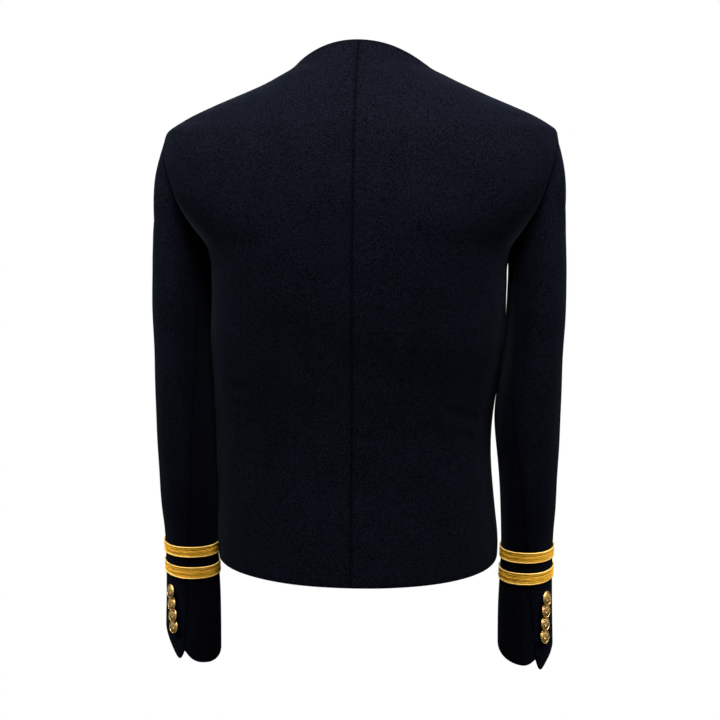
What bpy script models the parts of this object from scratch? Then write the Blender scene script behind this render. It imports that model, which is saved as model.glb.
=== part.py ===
"""Collarless jacket with braided cuffs, in the shape it takes when it is worn.

Every piece that a maker cuts and sews is its own solid: two backs, two fronts, a top sleeve and
an under sleeve for each arm, two rings of braid and four buttons on each cuff.

Lengths are in metres. +Z is up, the wearer faces -Y and the wearer's left is +X. The origin is
the middle of the neck opening, level with the two neck points, where the neck carries the jacket.
"""
from collections import namedtuple
import math

import bmesh
import bpy
import numpy as np

LEFT = 1
RIGHT = -1
SIDE_NAMES = {LEFT: "left", RIGHT: "right"}

# Cloth and seams
CLOTH = 0.0020
SEAM = 0.0003

# Heights of the places that the pieces share, and how late the hem bends between side and centre
HEM_BACK = -0.5377
HEM_SIDE = -0.5226
HEM_FRONT = -0.535
HEM_BEND = 4
ARMPIT = -0.203
SHOULDER_TIP = -0.065
NECK_POINT = 0.0
NAPE = 0.0247
FRONT_NECK = -0.075

# The armhole is an oval when it is seen from the side
ARMHOLE_BACK = 0.056
ARMHOLE_FRONT = 0.058

# How the cloth hangs unevenly: the right waist falls in, the right shoulder stands higher
WAIST_FALL = 0.0112
WAIST_HEIGHT = -0.390
WAIST_REACH = 0.088
SHOULDER_TILT = 0.0015
TILT_WIDTH = 0.200
TILT_BOTTOM = -0.250

# Rings of the torso: half width, depth behind and before the shoulder line, and how square
BodyRing = namedtuple("BodyRing", "height half_width back front back_square front_square")
BODY = (
    BodyRing(-0.560, 0.1500, 0.1170, 0.1210, 2.1, 2.2),
    BodyRing(-0.530, 0.1530, 0.1155, 0.1210, 2.1, 2.2),
    BodyRing(-0.508, 0.1546, 0.1136, 0.1212, 2.1, 2.2),
    BodyRing(-0.473, 0.1539, 0.1105, 0.1216, 2.2, 2.3),
    BodyRing(-0.430, 0.1540, 0.1075, 0.1222, 2.3, 2.4),
    BodyRing(-0.380, 0.1556, 0.1068, 0.1230, 2.4, 2.4),
    BodyRing(-0.330, 0.1580, 0.1095, 0.1250, 2.6, 2.45),
    BodyRing(-0.280, 0.1594, 0.1142, 0.1277, 2.8, 2.5),
    BodyRing(-0.232, 0.1580, 0.1178, 0.1280, 3.0, 2.6),
    BodyRing(-0.203, 0.1592, 0.1190, 0.1260, 3.1, 2.6),
    BodyRing(-0.188, 0.1638, 0.1192, 0.1240, 3.1, 2.5),
    BodyRing(-0.172, 0.1765, 0.1190, 0.1210, 3.1, 2.4),
    BodyRing(-0.150, 0.1935, 0.1180, 0.1150, 3.0, 2.3),
    BodyRing(-0.130, 0.2055, 0.1160, 0.1085, 2.8, 2.2),
    BodyRing(-0.113, 0.2130, 0.1135, 0.1030, 2.6, 2.15),
    BodyRing(-0.096, 0.2175, 0.1105, 0.0965, 2.4, 2.1),
    BodyRing(-0.078, 0.2150, 0.1060, 0.0880, 2.2, 2.05),
    BodyRing(-0.065, 0.2070, 0.1015, 0.0815, 2.1, 2.0),
    BodyRing(-0.058, 0.1970, 0.0985, 0.0780, 2.0, 2.0),
    BodyRing(-0.050, 0.1825, 0.0948, 0.0742, 2.0, 2.0),
    BodyRing(-0.042, 0.1645, 0.0908, 0.0700, 2.0, 2.0),
    BodyRing(-0.029, 0.1342, 0.0835, 0.0640, 2.0, 2.0),
    BodyRing(-0.016, 0.1053, 0.0755, 0.0580, 2.0, 2.0),
    BodyRing(-0.008, 0.0900, 0.0700, 0.0540, 2.0, 2.0),
    BodyRing(0.000, 0.0750, 0.0640, 0.0500, 2.0, 2.0),
    BodyRing(0.008, 0.0663, 0.0590, 0.0465, 2.0, 2.0),
    BodyRing(0.016, 0.0600, 0.0545, 0.0435, 2.0, 2.0),
    BodyRing(0.025, 0.0560, 0.0500, 0.0405, 2.0, 2.0),
    BodyRing(0.040, 0.0510, 0.0430, 0.0370, 2.0, 2.0),
)

# Rings of the sleeve below the cap: centre, half sizes and the place of the hind seam in degrees
SleeveRing = namedtuple("SleeveRing", "height across along half_width half_depth hind")
SLEEVE = (
    SleeveRing(-0.260, 0.1935, 0.001, 0.0314, 0.0660, 135.0),
    SleeveRing(-0.320, 0.1918, 0.003, 0.0309, 0.0620, 128.0),
    SleeveRing(-0.400, 0.1889, 0.003, 0.0317, 0.0570, 113.0),
    SleeveRing(-0.460, 0.1887, -0.001, 0.0302, 0.0520, 104.0),
    SleeveRing(-0.520, 0.1888, -0.009, 0.0280, 0.0470, 93.5),
    SleeveRing(-0.580, 0.1883, -0.018, 0.0290, 0.0445, 83.0),
    SleeveRing(-0.640, 0.1897, -0.027, 0.0299, 0.0435, 72.0),
    SleeveRing(-0.690, 0.1905, -0.034, 0.0310, 0.0430, 65.0),
)
SLEEVE_SQUARE = 2.2
CAP_END = -0.260
FRONT_SEAM = 135.0
SLEEVE_HEM = -0.629
HEM_SLOPE = 0.385
HEM_SLOPE_FROM = 0.73

# How each arm hangs: how far out; how far the cuff sways out; its lift and twist; the tilt of its
# hem, lower on the inside; how far its hind seam turns; and its fullness, at a height, over a reach
Arm = namedtuple("Arm", "out sway lift twist tilt seam_turn fullness full_height full_reach")
ARMS = {
    LEFT: Arm(-0.0007, -0.0003, -0.0005, 24.1, 0.287, 0.0, 0.0031, -0.484, 0.084),
    RIGHT: Arm(-0.0038, 0.0002, 0.0017, 13.4, -0.142, -10.0, 0.0075, -0.361, 0.051),
}
TWIST_FROM = 0.40
SWAY_FROM = 0.45
TILT_FROM = 0.84

# The sleeve leaves the armhole at this angle to the body: mean and swing from the top to the armpit
TURN_MEAN = -61.5
TURN_SWING = 93.5
CAP_START_MEAN = 0.0225
CAP_START_SWING = 0.0150
CAP_FINISH_MEAN = 0.0525
CAP_FINISH_SWING = 0.0375

# The vent at the end of the hind seam: the hem rises into a notch there, and beside it the top
# sleeve ends in a tip. A column of the top or under sleeve is so wide at the cuff.
VENT_NOTCH = 0.0070
NOTCH_TOP = 0.0040
NOTCH_UNDER = 0.0090
NOTCH_POWER = 1.5
VENT_TIP = 0.0084
TIP_AWAY = 0.0055
VENT_FROM = 0.80
TOP_COLUMN_WIDTH = 0.0052
UNDER_COLUMN_WIDTH = 0.016

# Braid: width, clearance from the sleeve, profile across it, and its rings on the cuff
BRAID_WIDTH = 0.0120
BRAID_CLEARANCE = 0.0008
BRAID_TOPS = (-0.5145, -0.5375)
BraidPoint = namedtuple("BraidPoint", "across rise")
BRAID_PROFILE = (
    BraidPoint(0.00, 0.0007),
    BraidPoint(0.10, 0.0015),
    BraidPoint(0.22, 0.0009),
    BraidPoint(0.50, 0.0014),
    BraidPoint(0.78, 0.0009),
    BraidPoint(0.90, 0.0015),
    BraidPoint(1.00, 0.0007),
)

# Buttons: a domed head on a shank, each one lapping over the next one down
BUTTON_TOP = -0.5652
BUTTON_PITCH = 0.0118
BUTTON_COUNT = 4
BUTTON_COLUMN = 5.3
BUTTON_LEAN = 0.4
BUTTON_LAP = 0.20
BUTTON_SIDES = 16
ButtonPoint = namedtuple("ButtonPoint", "radius height")
BUTTON_PROFILE = (
    ButtonPoint(0.0000, 0.0003),
    ButtonPoint(0.0022, 0.0003),
    ButtonPoint(0.0022, 0.0024),
    ButtonPoint(0.0070, 0.0030),
    ButtonPoint(0.0077, 0.0036),
    ButtonPoint(0.0073, 0.0043),
    ButtonPoint(0.0045, 0.0052),
    ButtonPoint(0.0000, 0.0056),
)
BUTTON_HEAD_FROM = 0.0024

# How finely the solids are divided, how flat their rows run outward by the armhole and at the
# hem, and small steps
PANEL_COLUMNS = 8
LOWER_ROWS = 9
ARMHOLE_STEPS = 12
SHOULDER_ROWS = 5
LEVEL_ROWS = 2.5
HEM_ROWS = 0.68
CAP_ROWS = 7
TUBE_ROWS = 14
TOP_COLUMNS = 9
UNDER_COLUMNS = 6
SMALL_STEP = 1e-5
SLOPE_STEP = 1e-3
SHARP_EDGE = 40.0

# Colours as seen in even light, with roughness and metallic value
Finish = namedtuple("Finish", "name colour roughness metallic")
FELT = Finish("black_felted_wool", (0.008, 0.009, 0.014), 0.95, 0.0)
GOLD_BRAID = Finish("gold_braid", (0.46, 0.25, 0.03), 0.55, 0.3)
GILT = Finish("gilt_metal", (0.75, 0.48, 0.15), 0.28, 1.0)


def smooth(table, column, height):
    """Read a column of a ring table at any height, along a smooth curve through its rows."""
    rows = sorted(table)
    x = np.array([row.height for row in rows])
    y = np.array([getattr(row, column) for row in rows])
    slope = np.gradient(y, x)
    i = np.clip(np.searchsorted(x, height) - 1, 0, len(x) - 2)
    span = x[i + 1] - x[i]
    t = (height - x[i]) / span
    start = (2 * t**3 - 3 * t**2 + 1) * y[i] + (t**3 - 2 * t**2 + t) * span * slope[i]
    finish = (3 * t**2 - 2 * t**3) * y[i + 1] + (t**3 - t**2) * span * slope[i + 1]
    return start + finish


def ease(value):
    """Go softly from 0 to 1 as the value does."""
    value = np.clip(value, 0.0, 1.0)
    return value * value * (3.0 - 2.0 * value)


def unit(vectors):
    """Scale vectors to length one."""
    return vectors / np.linalg.norm(vectors, axis=-1, keepdims=True)


def hang(x, y, z):
    """Put points where the unevenly worn cloth has them: the right shoulder stands higher."""
    share = np.sign(x) * ease(np.abs(x) / TILT_WIDTH) * ease((z - TILT_BOTTOM) / TILT_WIDTH)
    return np.stack([x, y, z - SHOULDER_TILT * share], axis=-1)


def body_point(side, face, angle, height):
    """Point of the torso; the angle is 0 on the centre line and a quarter turn at the side."""
    angle, height = np.broadcast_arrays(angle, height)
    fall = WAIST_FALL * np.exp(-(((height - WAIST_HEIGHT) / WAIST_REACH) ** 2))
    half = smooth(BODY, "half_width", height) - fall * (side == RIGHT)
    depth = smooth(BODY, face, height)
    square = smooth(BODY, face + "_square", height)
    sine, cosine = np.sin(angle), np.cos(angle)
    reach = (np.abs(sine) ** square + np.abs(cosine) ** square) ** (-1.0 / square)
    forward = 1.0 if face == "back" else -1.0
    return hang(side * half * sine * reach, forward * depth * cosine * reach, height)


def normal(surface, u, v):
    """Unit normal of a surface of two values, from small steps on it."""
    along_u = surface(u + SMALL_STEP, v) - surface(u - SMALL_STEP, v)
    along_v = surface(u, v + SMALL_STEP) - surface(u, v - SMALL_STEP)
    return unit(np.cross(along_u, along_v))


def body_normal(side, face, angle, height):
    """Outward normal of the torso."""
    turned = -side if face == "back" else side
    surface = lambda a, h: body_point(side, face, a, h)
    return turned * normal(surface, angle, height)


def section_angle(face, height, across):
    """Angle on the torso of a point that lies at a share of the half width."""
    square = smooth(BODY, face + "_square", height)
    return np.arctan2(across, (1.0 - across**square) ** (1.0 / square))


def armhole_edge(face, turn):
    """Angle and height on the torso of the armhole, at a turn from its top round to the armpit."""
    middle, half = (SHOULDER_TIP + ARMPIT) / 2.0, (SHOULDER_TIP - ARMPIT) / 2.0
    height = middle + half * np.cos(turn)
    width = ARMHOLE_BACK if face == "back" else ARMHOLE_FRONT
    part = width * np.abs(np.sin(turn)) / smooth(BODY, face, height)
    square = smooth(BODY, face + "_square", height)
    return np.arctan2((1.0 - part**square) ** (1.0 / square), part), height


def armhole(side, turn):
    """Point and outward body normal on the armhole; the turn goes top, back, armpit, front."""
    turn = np.asarray(turn, float)
    behind = (np.sin(turn) >= 0.0)[..., None]
    found = []
    for face in ("back", "front"):
        angle, height = armhole_edge(face, turn)
        found.append((body_point(side, face, angle, height), body_normal(side, face, angle, height)))
    (back_at, back_out), (front_at, front_out) = found
    return np.where(behind, back_at, front_at), np.where(behind, back_out, front_out)


def armhole_frame(side, turn):
    """Armhole point, body normal, the way on from the body, and the sleeve's angle to it."""
    at, out = armhole(side, turn)
    along = unit(armhole(side, turn + SMALL_STEP)[0] - armhole(side, turn - SMALL_STEP)[0])
    onward = side * np.cross(along, out)
    bend = np.radians(TURN_MEAN + TURN_SWING * np.cos(turn))[..., None]
    return at, out, onward, bend


def arm_down(height):
    """Share of the way from the cap down to the cuff's hem."""
    return np.clip((CAP_END - height) / (CAP_END - SLEEVE_HEM), 0.0, None)


def ease_from(down, start):
    """Go softly from 0 to 1 between a share of the way down the arm and the cuff's hem."""
    return ease((down - start) / (1.0 - start))


def sleeve_angle(side, column, height):
    """Angle round the sleeve, in radians, of a column that runs between the two seams."""
    hind = smooth(SLEEVE, "hind", np.minimum(height, CAP_END))
    hind = hind + ARMS[side].seam_turn * ease_from(arm_down(height), SWAY_FROM)
    outer = np.where(column >= 0, column / TOP_COLUMNS * hind, column / TOP_COLUMNS * FRONT_SEAM)
    share = (column - TOP_COLUMNS) / UNDER_COLUMNS
    inner = hind + share * (360.0 - FRONT_SEAM - hind)
    return np.radians(np.where(column <= TOP_COLUMNS, outer, inner))


def tube_point(side, angle, height):
    """Point of the sleeve below its cap; the angle goes from outside to back, inside, front."""
    angle, height = np.broadcast_arrays(angle, height)
    arm = ARMS[side]
    down = arm_down(height)
    twist = math.radians(arm.twist) * ease_from(down, TWIST_FROM)
    local = angle - twist
    sine, cosine = np.sin(local), np.cos(local)
    square = SLEEVE_SQUARE
    reach = (np.abs(sine) ** square + np.abs(cosine) ** square) ** (-1.0 / square)
    full = arm.fullness / 2.0 * np.exp(-(((height - arm.full_height) / arm.full_reach) ** 2))
    out = arm.out + arm.sway * ease_from(down, SWAY_FROM)
    wide = (smooth(SLEEVE, "half_width", height) + full) * cosine * reach
    deep = smooth(SLEEVE, "half_depth", height) * sine * reach
    across = wide * np.cos(twist) - deep * np.sin(twist)
    along = wide * np.sin(twist) + deep * np.cos(twist)
    x = smooth(SLEEVE, "across", height) - full + out + across
    y = smooth(SLEEVE, "along", height) + along
    slope = HEM_SLOPE * ease_from(down, HEM_SLOPE_FROM)
    tilt = arm.tilt * ease_from(down, TILT_FROM)
    return hang(side * x, y, height + arm.lift * ease(down) - slope * along + tilt * across)


def cap_point(side, angle, share):
    """Point of the sleeve cap, from the armhole at share 0 to the top of the tube at share 1."""
    angle, share = np.broadcast_arrays(angle, share)
    share = share[..., None]
    at, out, onward, bend = armhole_frame(side, angle)
    start = at + SEAM * (onward * np.cos(bend / 2) - out * np.sin(bend / 2))
    leave = onward * np.cos(bend) - out * np.sin(bend)
    end = tube_point(side, angle, CAP_END)
    down = unit(tube_point(side, angle, CAP_END - SLOPE_STEP) - end)
    swing = np.cos(angle)[..., None]
    first = start + (CAP_START_MEAN + CAP_START_SWING * swing) * leave
    last = end - (CAP_FINISH_MEAN + CAP_FINISH_SWING * swing) * down
    rest = 1.0 - share
    return rest**3 * start + 3 * rest**2 * share * first + 3 * rest * share**2 * last + share**3 * end


def panel_rows(face):
    """Heights of a panel's rows on its outer side and on its centre line, from hem to neck."""
    lower = np.linspace(HEM_SIDE, ARMPIT, LOWER_ROWS + 1)
    turns = np.linspace(math.pi, 0.0, ARMHOLE_STEPS + 1)[1:]
    hole = armhole_edge(face, turns)[1]
    upper = np.linspace(SHOULDER_TIP, NECK_POINT, SHOULDER_ROWS + 1)[1:]
    outer = np.concatenate([lower, hole, upper])
    hem, top = (HEM_BACK, NAPE) if face == "back" else (HEM_FRONT, FRONT_NECK)
    share = (outer - ARMPIT) / (NECK_POINT - ARMPIT)
    centre = np.where(outer < ARMPIT, outer, ARMPIT + share * (top - ARMPIT))
    drop = (outer - ARMPIT) / (HEM_SIDE - ARMPIT)
    return outer, centre + np.clip(drop, 0.0, 1.0) ** HEM_BEND * (hem - HEM_SIDE)


def neckline(face, share):
    """Angle and height on the torso of the neck edge, from the centre to the neck point."""
    height = (NAPE if face == "back" else FRONT_NECK) * np.cos(share * math.pi / 2.0)
    if face == "back":
        return share * math.pi / 2.0, height
    across = smooth(BODY, "half_width", NECK_POINT) * np.sin(share * math.pi / 2.0)
    return section_angle(face, height, across / smooth(BODY, "half_width", height)), height


def panel(side, face):
    """Outer and inner points of a back or a front: rows from hem to neck, centre to side."""
    outer_heights, centre_heights = panel_rows(face)
    quarter = math.pi / 2.0
    edge = np.full(len(outer_heights), quarter)
    hole = slice(LOWER_ROWS + 1, LOWER_ROWS + ARMHOLE_STEPS + 1)
    turns = np.linspace(math.pi, 0.0, ARMHOLE_STEPS + 1)[1:]
    edge[hole] = armhole_edge(face, turns)[0]
    share = np.linspace(0.0, 1.0, PANEL_COLUMNS + 1)[None, :]
    angle = share * quarter - (quarter - edge[:, None]) * share**3
    climb = ease((outer_heights - SHOULDER_TIP) / (NECK_POINT - SHOULDER_TIP))[:, None]
    power = np.where(outer_heights[:, None] <= ARMPIT, HEM_ROWS, LEVEL_ROWS - (LEVEL_ROWS - 1.0) * climb)
    blend = np.cos(share * quarter) ** power
    height = outer_heights[:, None] * (1.0 - blend) + centre_heights[:, None] * blend
    neck_angle, neck_height = neckline(face, share)
    angle = angle * (1.0 - climb) + neck_angle * climb
    height[-1] = neck_height
    outer = body_point(side, face, angle, height)
    out = body_normal(side, face, angle, height)
    inner = outer - CLOTH * out
    inner[hole, -1] = armhole_inner(side, turns if face == "back" else -turns, 0.0)
    forward = 1.0 if face == "back" else -1.0
    for wall in (outer, inner):
        wall[:, 0, 0] += side * SEAM / 2.0
        wall[: LOWER_ROWS + 1, -1, 1] += forward * SEAM / 2.0
        wall[-SHOULDER_ROWS - 1 :, -1, 1] += forward * SEAM / 2.0
    return outer, inner


def armhole_inner(side, turn, onto_sleeve):
    """Inner edge of the cloth at the armhole: mitred where body and sleeve meet as a ridge."""
    at, out, onward, bend = armhole_frame(side, turn)
    sleeve_out = out * np.cos(bend) + onward * np.sin(bend)
    across = onward * np.cos(bend / 2) - out * np.sin(bend / 2)
    own = sleeve_out if onto_sleeve else out
    mitre = (out + sleeve_out) / (1.0 + np.cos(np.maximum(bend, 0.0)))
    inward = np.where(bend > 0.0, mitre, own)
    return at + onto_sleeve * SEAM * across - CLOTH * inward


def sleeve(side, columns, vent_side):
    """Outer and inner points of a sleeve piece: rows from armhole to hem, one for each column."""
    column = np.asarray(columns, float)[None, :]
    cap_share = np.linspace(0.0, 1.0, CAP_ROWS + 1)[:, None]
    cap_angle = np.radians(column * 180.0 / ARMHOLE_STEPS)
    cap = cap_point(side, cap_angle, cap_share)
    cap_out = -side * normal(lambda a, s: cap_point(side, a, s), cap_angle, cap_share)
    height, angle = cuff_lines(side, column, vent_side)
    tube = tube_point(side, angle, height)
    tube_out = side * normal(lambda a, h: tube_point(side, a, h), angle, height)
    cap_inner = cap - CLOTH * cap_out
    cap_inner[0] = armhole_inner(side, cap_angle[0], 1.0)
    outer = np.concatenate([cap, tube])
    inner = np.concatenate([cap_inner, tube - CLOTH * tube_out])
    for wall in (outer, inner):
        for edge, beside in ((0, 1), (-1, -2)):
            wall[:, edge] += SEAM / 2.0 * unit(wall[:, beside] - wall[:, edge])
    return outer, inner


def cuff_lines(side, column, vent_side):
    """Heights and angles of the rows below the cap, down to a hem shaped for the vent."""
    top = vent_side == "top"
    away = np.abs(column - TOP_COLUMNS) * (TOP_COLUMN_WIDTH if top else UNDER_COLUMN_WIDTH)
    shift = VENT_NOTCH * np.exp(-away / NOTCH_TOP if top else -((away / NOTCH_UNDER) ** NOTCH_POWER))
    if top:
        shift = shift - VENT_TIP * away / TIP_AWAY * np.exp(1.0 - away / TIP_AWAY)
    share = np.linspace(0.0, 1.0, TUBE_ROWS + 1)[1:, None]
    height = CAP_END + share * (SLEEVE_HEM - CAP_END)
    height = height + shift * ease((share - VENT_FROM) / (1.0 - VENT_FROM))
    return height, sleeve_angle(side, column, height)


def braid(side, top):
    """Closed rings of points, round a section of the braid, for each column of the sleeve."""
    columns = np.arange(-TOP_COLUMNS, TOP_COLUMNS + UNDER_COLUMNS, dtype=float)
    middle = [BraidPoint(point.across, point.rise + BRAID_CLEARANCE) for point in BRAID_PROFILE]
    section = middle + [BraidPoint(1.0, BRAID_CLEARANCE), BraidPoint(0.0, BRAID_CLEARANCE)]
    rows = []
    for point in section:
        height = np.full(len(columns), top - point.across * BRAID_WIDTH)
        angle = sleeve_angle(side, columns, height)
        out = side * normal(lambda a, h: tube_point(side, a, h), angle, height)
        rows.append(tube_point(side, angle, height) + point.rise * out)
    return np.array(rows)


def button(side, number):
    """Rings of points of a button, from the middle of its shank's foot to the top of its dome."""
    height = BUTTON_TOP - number * BUTTON_PITCH
    angle = sleeve_angle(side, np.array(BUTTON_COLUMN + number * BUTTON_LEAN), height)
    at = tube_point(side, angle, height)
    out = side * normal(lambda a, h: tube_point(side, a, h), angle, height)
    up = unit(tube_point(side, angle, height + SLOPE_STEP) - at)
    across = np.cross(out, up)
    turn = np.linspace(0.0, 2.0 * math.pi, BUTTON_SIDES, endpoint=False)[:, None]
    rings = []
    for point in BUTTON_PROFILE:
        flat = point.radius * (np.cos(turn) * across + np.sin(turn) * up)
        lap = BUTTON_LAP * point.radius * np.sin(turn) if point.height > BUTTON_HEAD_FROM else 0.0
        rings.append(at + flat + (point.height - lap) * out)
    return np.array(rings)


def make_object(name, mesh_faces, points, finish):
    """Make a named mesh object with faces that point out and its own material."""
    mesh = bpy.data.meshes.new(name)
    mesh.from_pydata([tuple(point) for point in points], [], mesh_faces)
    shaped = bmesh.new()
    shaped.from_mesh(mesh)
    bmesh.ops.recalc_face_normals(shaped, faces=shaped.faces)
    shaped.to_mesh(mesh)
    shaped.free()
    mesh.shade_smooth()
    mesh.set_sharp_from_angle(angle=math.radians(SHARP_EDGE))
    piece = bpy.data.objects.new(name, mesh)
    bpy.context.scene.collection.objects.link(piece)
    piece.data.materials.append(material(finish))
    return piece


def material(finish):
    """Find or make the plain material of a finish."""
    found = bpy.data.materials.get(finish.name)
    if found:
        return found
    made = bpy.data.materials.new(finish.name)
    made.use_nodes = True
    shader = made.node_tree.nodes["Principled BSDF"]
    shader.inputs["Base Color"].default_value = (*finish.colour, 1.0)
    shader.inputs["Roughness"].default_value = finish.roughness
    shader.inputs["Metallic"].default_value = finish.metallic
    return made


def make_wall(name, outer, inner, finish):
    """Close two grids of points into one solid wall."""
    rows, columns = outer.shape[:2]
    points = np.concatenate([outer.reshape(-1, 3), inner.reshape(-1, 3)])
    far = rows * columns
    at = lambda row, column: row * columns + column
    faces = []
    for row in range(rows - 1):
        for column in range(columns - 1):
            quad = [at(row, column), at(row, column + 1), at(row + 1, column + 1), at(row + 1, column)]
            faces.append(quad)
            faces.append([far + corner for corner in reversed(quad)])
    rim = [at(0, column) for column in range(columns)]
    rim += [at(row, columns - 1) for row in range(1, rows)]
    rim += [at(rows - 1, column) for column in range(columns - 2, -1, -1)]
    rim += [at(row, 0) for row in range(rows - 2, 0, -1)]
    for here, there in zip(rim, rim[1:] + rim[:1]):
        faces.append([there, here, far + here, far + there])
    return make_object(name, faces, points, finish)


def make_ring(name, section_rows, finish):
    """Close rows of points, which go round a section and round a sleeve, into one ring."""
    rows, columns = section_rows.shape[:2]
    faces = []
    for row in range(rows):
        for column in range(columns):
            below, beside = (row + 1) % rows, (column + 1) % columns
            faces.append(
                [
                    row * columns + column,
                    row * columns + beside,
                    below * columns + beside,
                    below * columns + column,
                ]
            )
    return make_object(name, faces, section_rows.reshape(-1, 3), finish)


def make_button(name, rings, finish):
    """Close the rings of a button, whose first and last ring are single points."""
    foot, crown = rings[0, 0], rings[-1, 0]
    middle = rings[1:-1]
    count, sides = middle.shape[:2]
    points = np.concatenate([[foot], middle.reshape(-1, 3), [crown]])
    last = len(points) - 1
    at = lambda ring, corner: 1 + ring * sides + corner % sides
    faces = []
    for corner in range(sides):
        faces.append([0, at(0, corner + 1), at(0, corner)])
        faces.append([last, at(count - 1, corner), at(count - 1, corner + 1)])
        for ring in range(count - 1):
            low, high = at(ring, corner), at(ring, corner + 1)
            faces.append([low, high, at(ring + 1, corner + 1), at(ring + 1, corner)])
    return make_object(name, faces, points, finish)


def make_jacket():
    """Make every piece of the jacket."""
    top_columns = range(-TOP_COLUMNS, TOP_COLUMNS + 1)
    under_columns = range(TOP_COLUMNS, TOP_COLUMNS + UNDER_COLUMNS + 1)
    for side, side_name in SIDE_NAMES.items():
        for face in ("back", "front"):
            make_wall(f"{face}_{side_name}", *panel(side, face), FELT)
        make_wall(f"sleeve_{side_name}_top", *sleeve(side, top_columns, "top"), FELT)
        make_wall(f"sleeve_{side_name}_under", *sleeve(side, under_columns, "under"), FELT)
        for number, top in enumerate(BRAID_TOPS, start=1):
            make_ring(f"braid_{side_name}_{number}", braid(side, top), GOLD_BRAID)
        for number in range(BUTTON_COUNT):
            make_button(f"button_{side_name}_{number + 1}", button(side, number), GILT)


for old in list(bpy.data.objects):
    bpy.data.objects.remove(old, do_unlink=True)
make_jacket()
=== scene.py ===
"""Looks of a collarless jacket with braided cuffs, in the shape it takes when it is worn.

Each piece of cloth is a thin wall on the form of its solid, with rolled edges, sewn seams and soft
creases. Sewing and the threads of the braid are laid by Geometry Nodes, and the buttons are
turned and struck in mesh code.

Lengths are in metres. +Z is up, the wearer faces -Y and the wearer's left is +X.
"""
from collections import namedtuple
import math

import bpy
from bpy.props import FloatProperty, FloatVectorProperty, IntProperty, PointerProperty
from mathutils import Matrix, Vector
import numpy as np


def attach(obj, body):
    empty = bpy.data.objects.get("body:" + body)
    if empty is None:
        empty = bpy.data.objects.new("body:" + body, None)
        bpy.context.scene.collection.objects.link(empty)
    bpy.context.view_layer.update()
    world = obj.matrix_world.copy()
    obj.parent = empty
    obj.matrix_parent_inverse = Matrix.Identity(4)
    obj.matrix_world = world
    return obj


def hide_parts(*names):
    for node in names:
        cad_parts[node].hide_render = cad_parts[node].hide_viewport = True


bl_info = {
    "name": "Collarless jacket",
    "version": (1, 0, 0),
    "blender": (4, 5, 0),
    "location": "3D View > Sidebar > Jacket",
    "description": "Makes a cropped collarless jacket with gold braid and gilt buttons on its cuffs",
    "category": "Add Mesh",
}

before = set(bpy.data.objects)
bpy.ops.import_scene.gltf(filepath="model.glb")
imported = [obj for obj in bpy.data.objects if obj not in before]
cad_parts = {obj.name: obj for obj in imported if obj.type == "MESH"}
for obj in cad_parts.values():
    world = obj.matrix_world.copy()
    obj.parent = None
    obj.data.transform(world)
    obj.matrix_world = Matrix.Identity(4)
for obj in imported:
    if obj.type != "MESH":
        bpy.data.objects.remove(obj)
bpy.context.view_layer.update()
BODY_NAME = "root"

LEFT = 1
RIGHT = -1
SIDE_NAMES = {LEFT: "left", RIGHT: "right"}

# How thick the cloth is, and the gap between edges that meet in the seams and down the front,
# which is below nothing because they press together by a hair
CLOTH = 0.0020
SEAM = -0.00004

# Heights of the places that the pieces share, and how late the hem bends between side and centre
HEM_BACK = -0.5377
HEM_SIDE = -0.5226
HEM_FRONT = -0.535
HEM_BEND = 4
ARMPIT = -0.203
SHOULDER_TIP = -0.065
NECK_POINT = 0.0
NAPE = 0.0247
FRONT_NECK = -0.075

# Half widths of the armhole behind and before its middle, an oval when it is seen from the side
ARMHOLE_BACK = 0.056
ARMHOLE_FRONT = 0.058

# How the cloth hangs unevenly: the right waist falls in, the right shoulder stands higher
WAIST_FALL = 0.0112
WAIST_HEIGHT = -0.390
WAIST_REACH = 0.088
SHOULDER_TILT = 0.0015
TILT_WIDTH = 0.200
TILT_BOTTOM = -0.250

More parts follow.
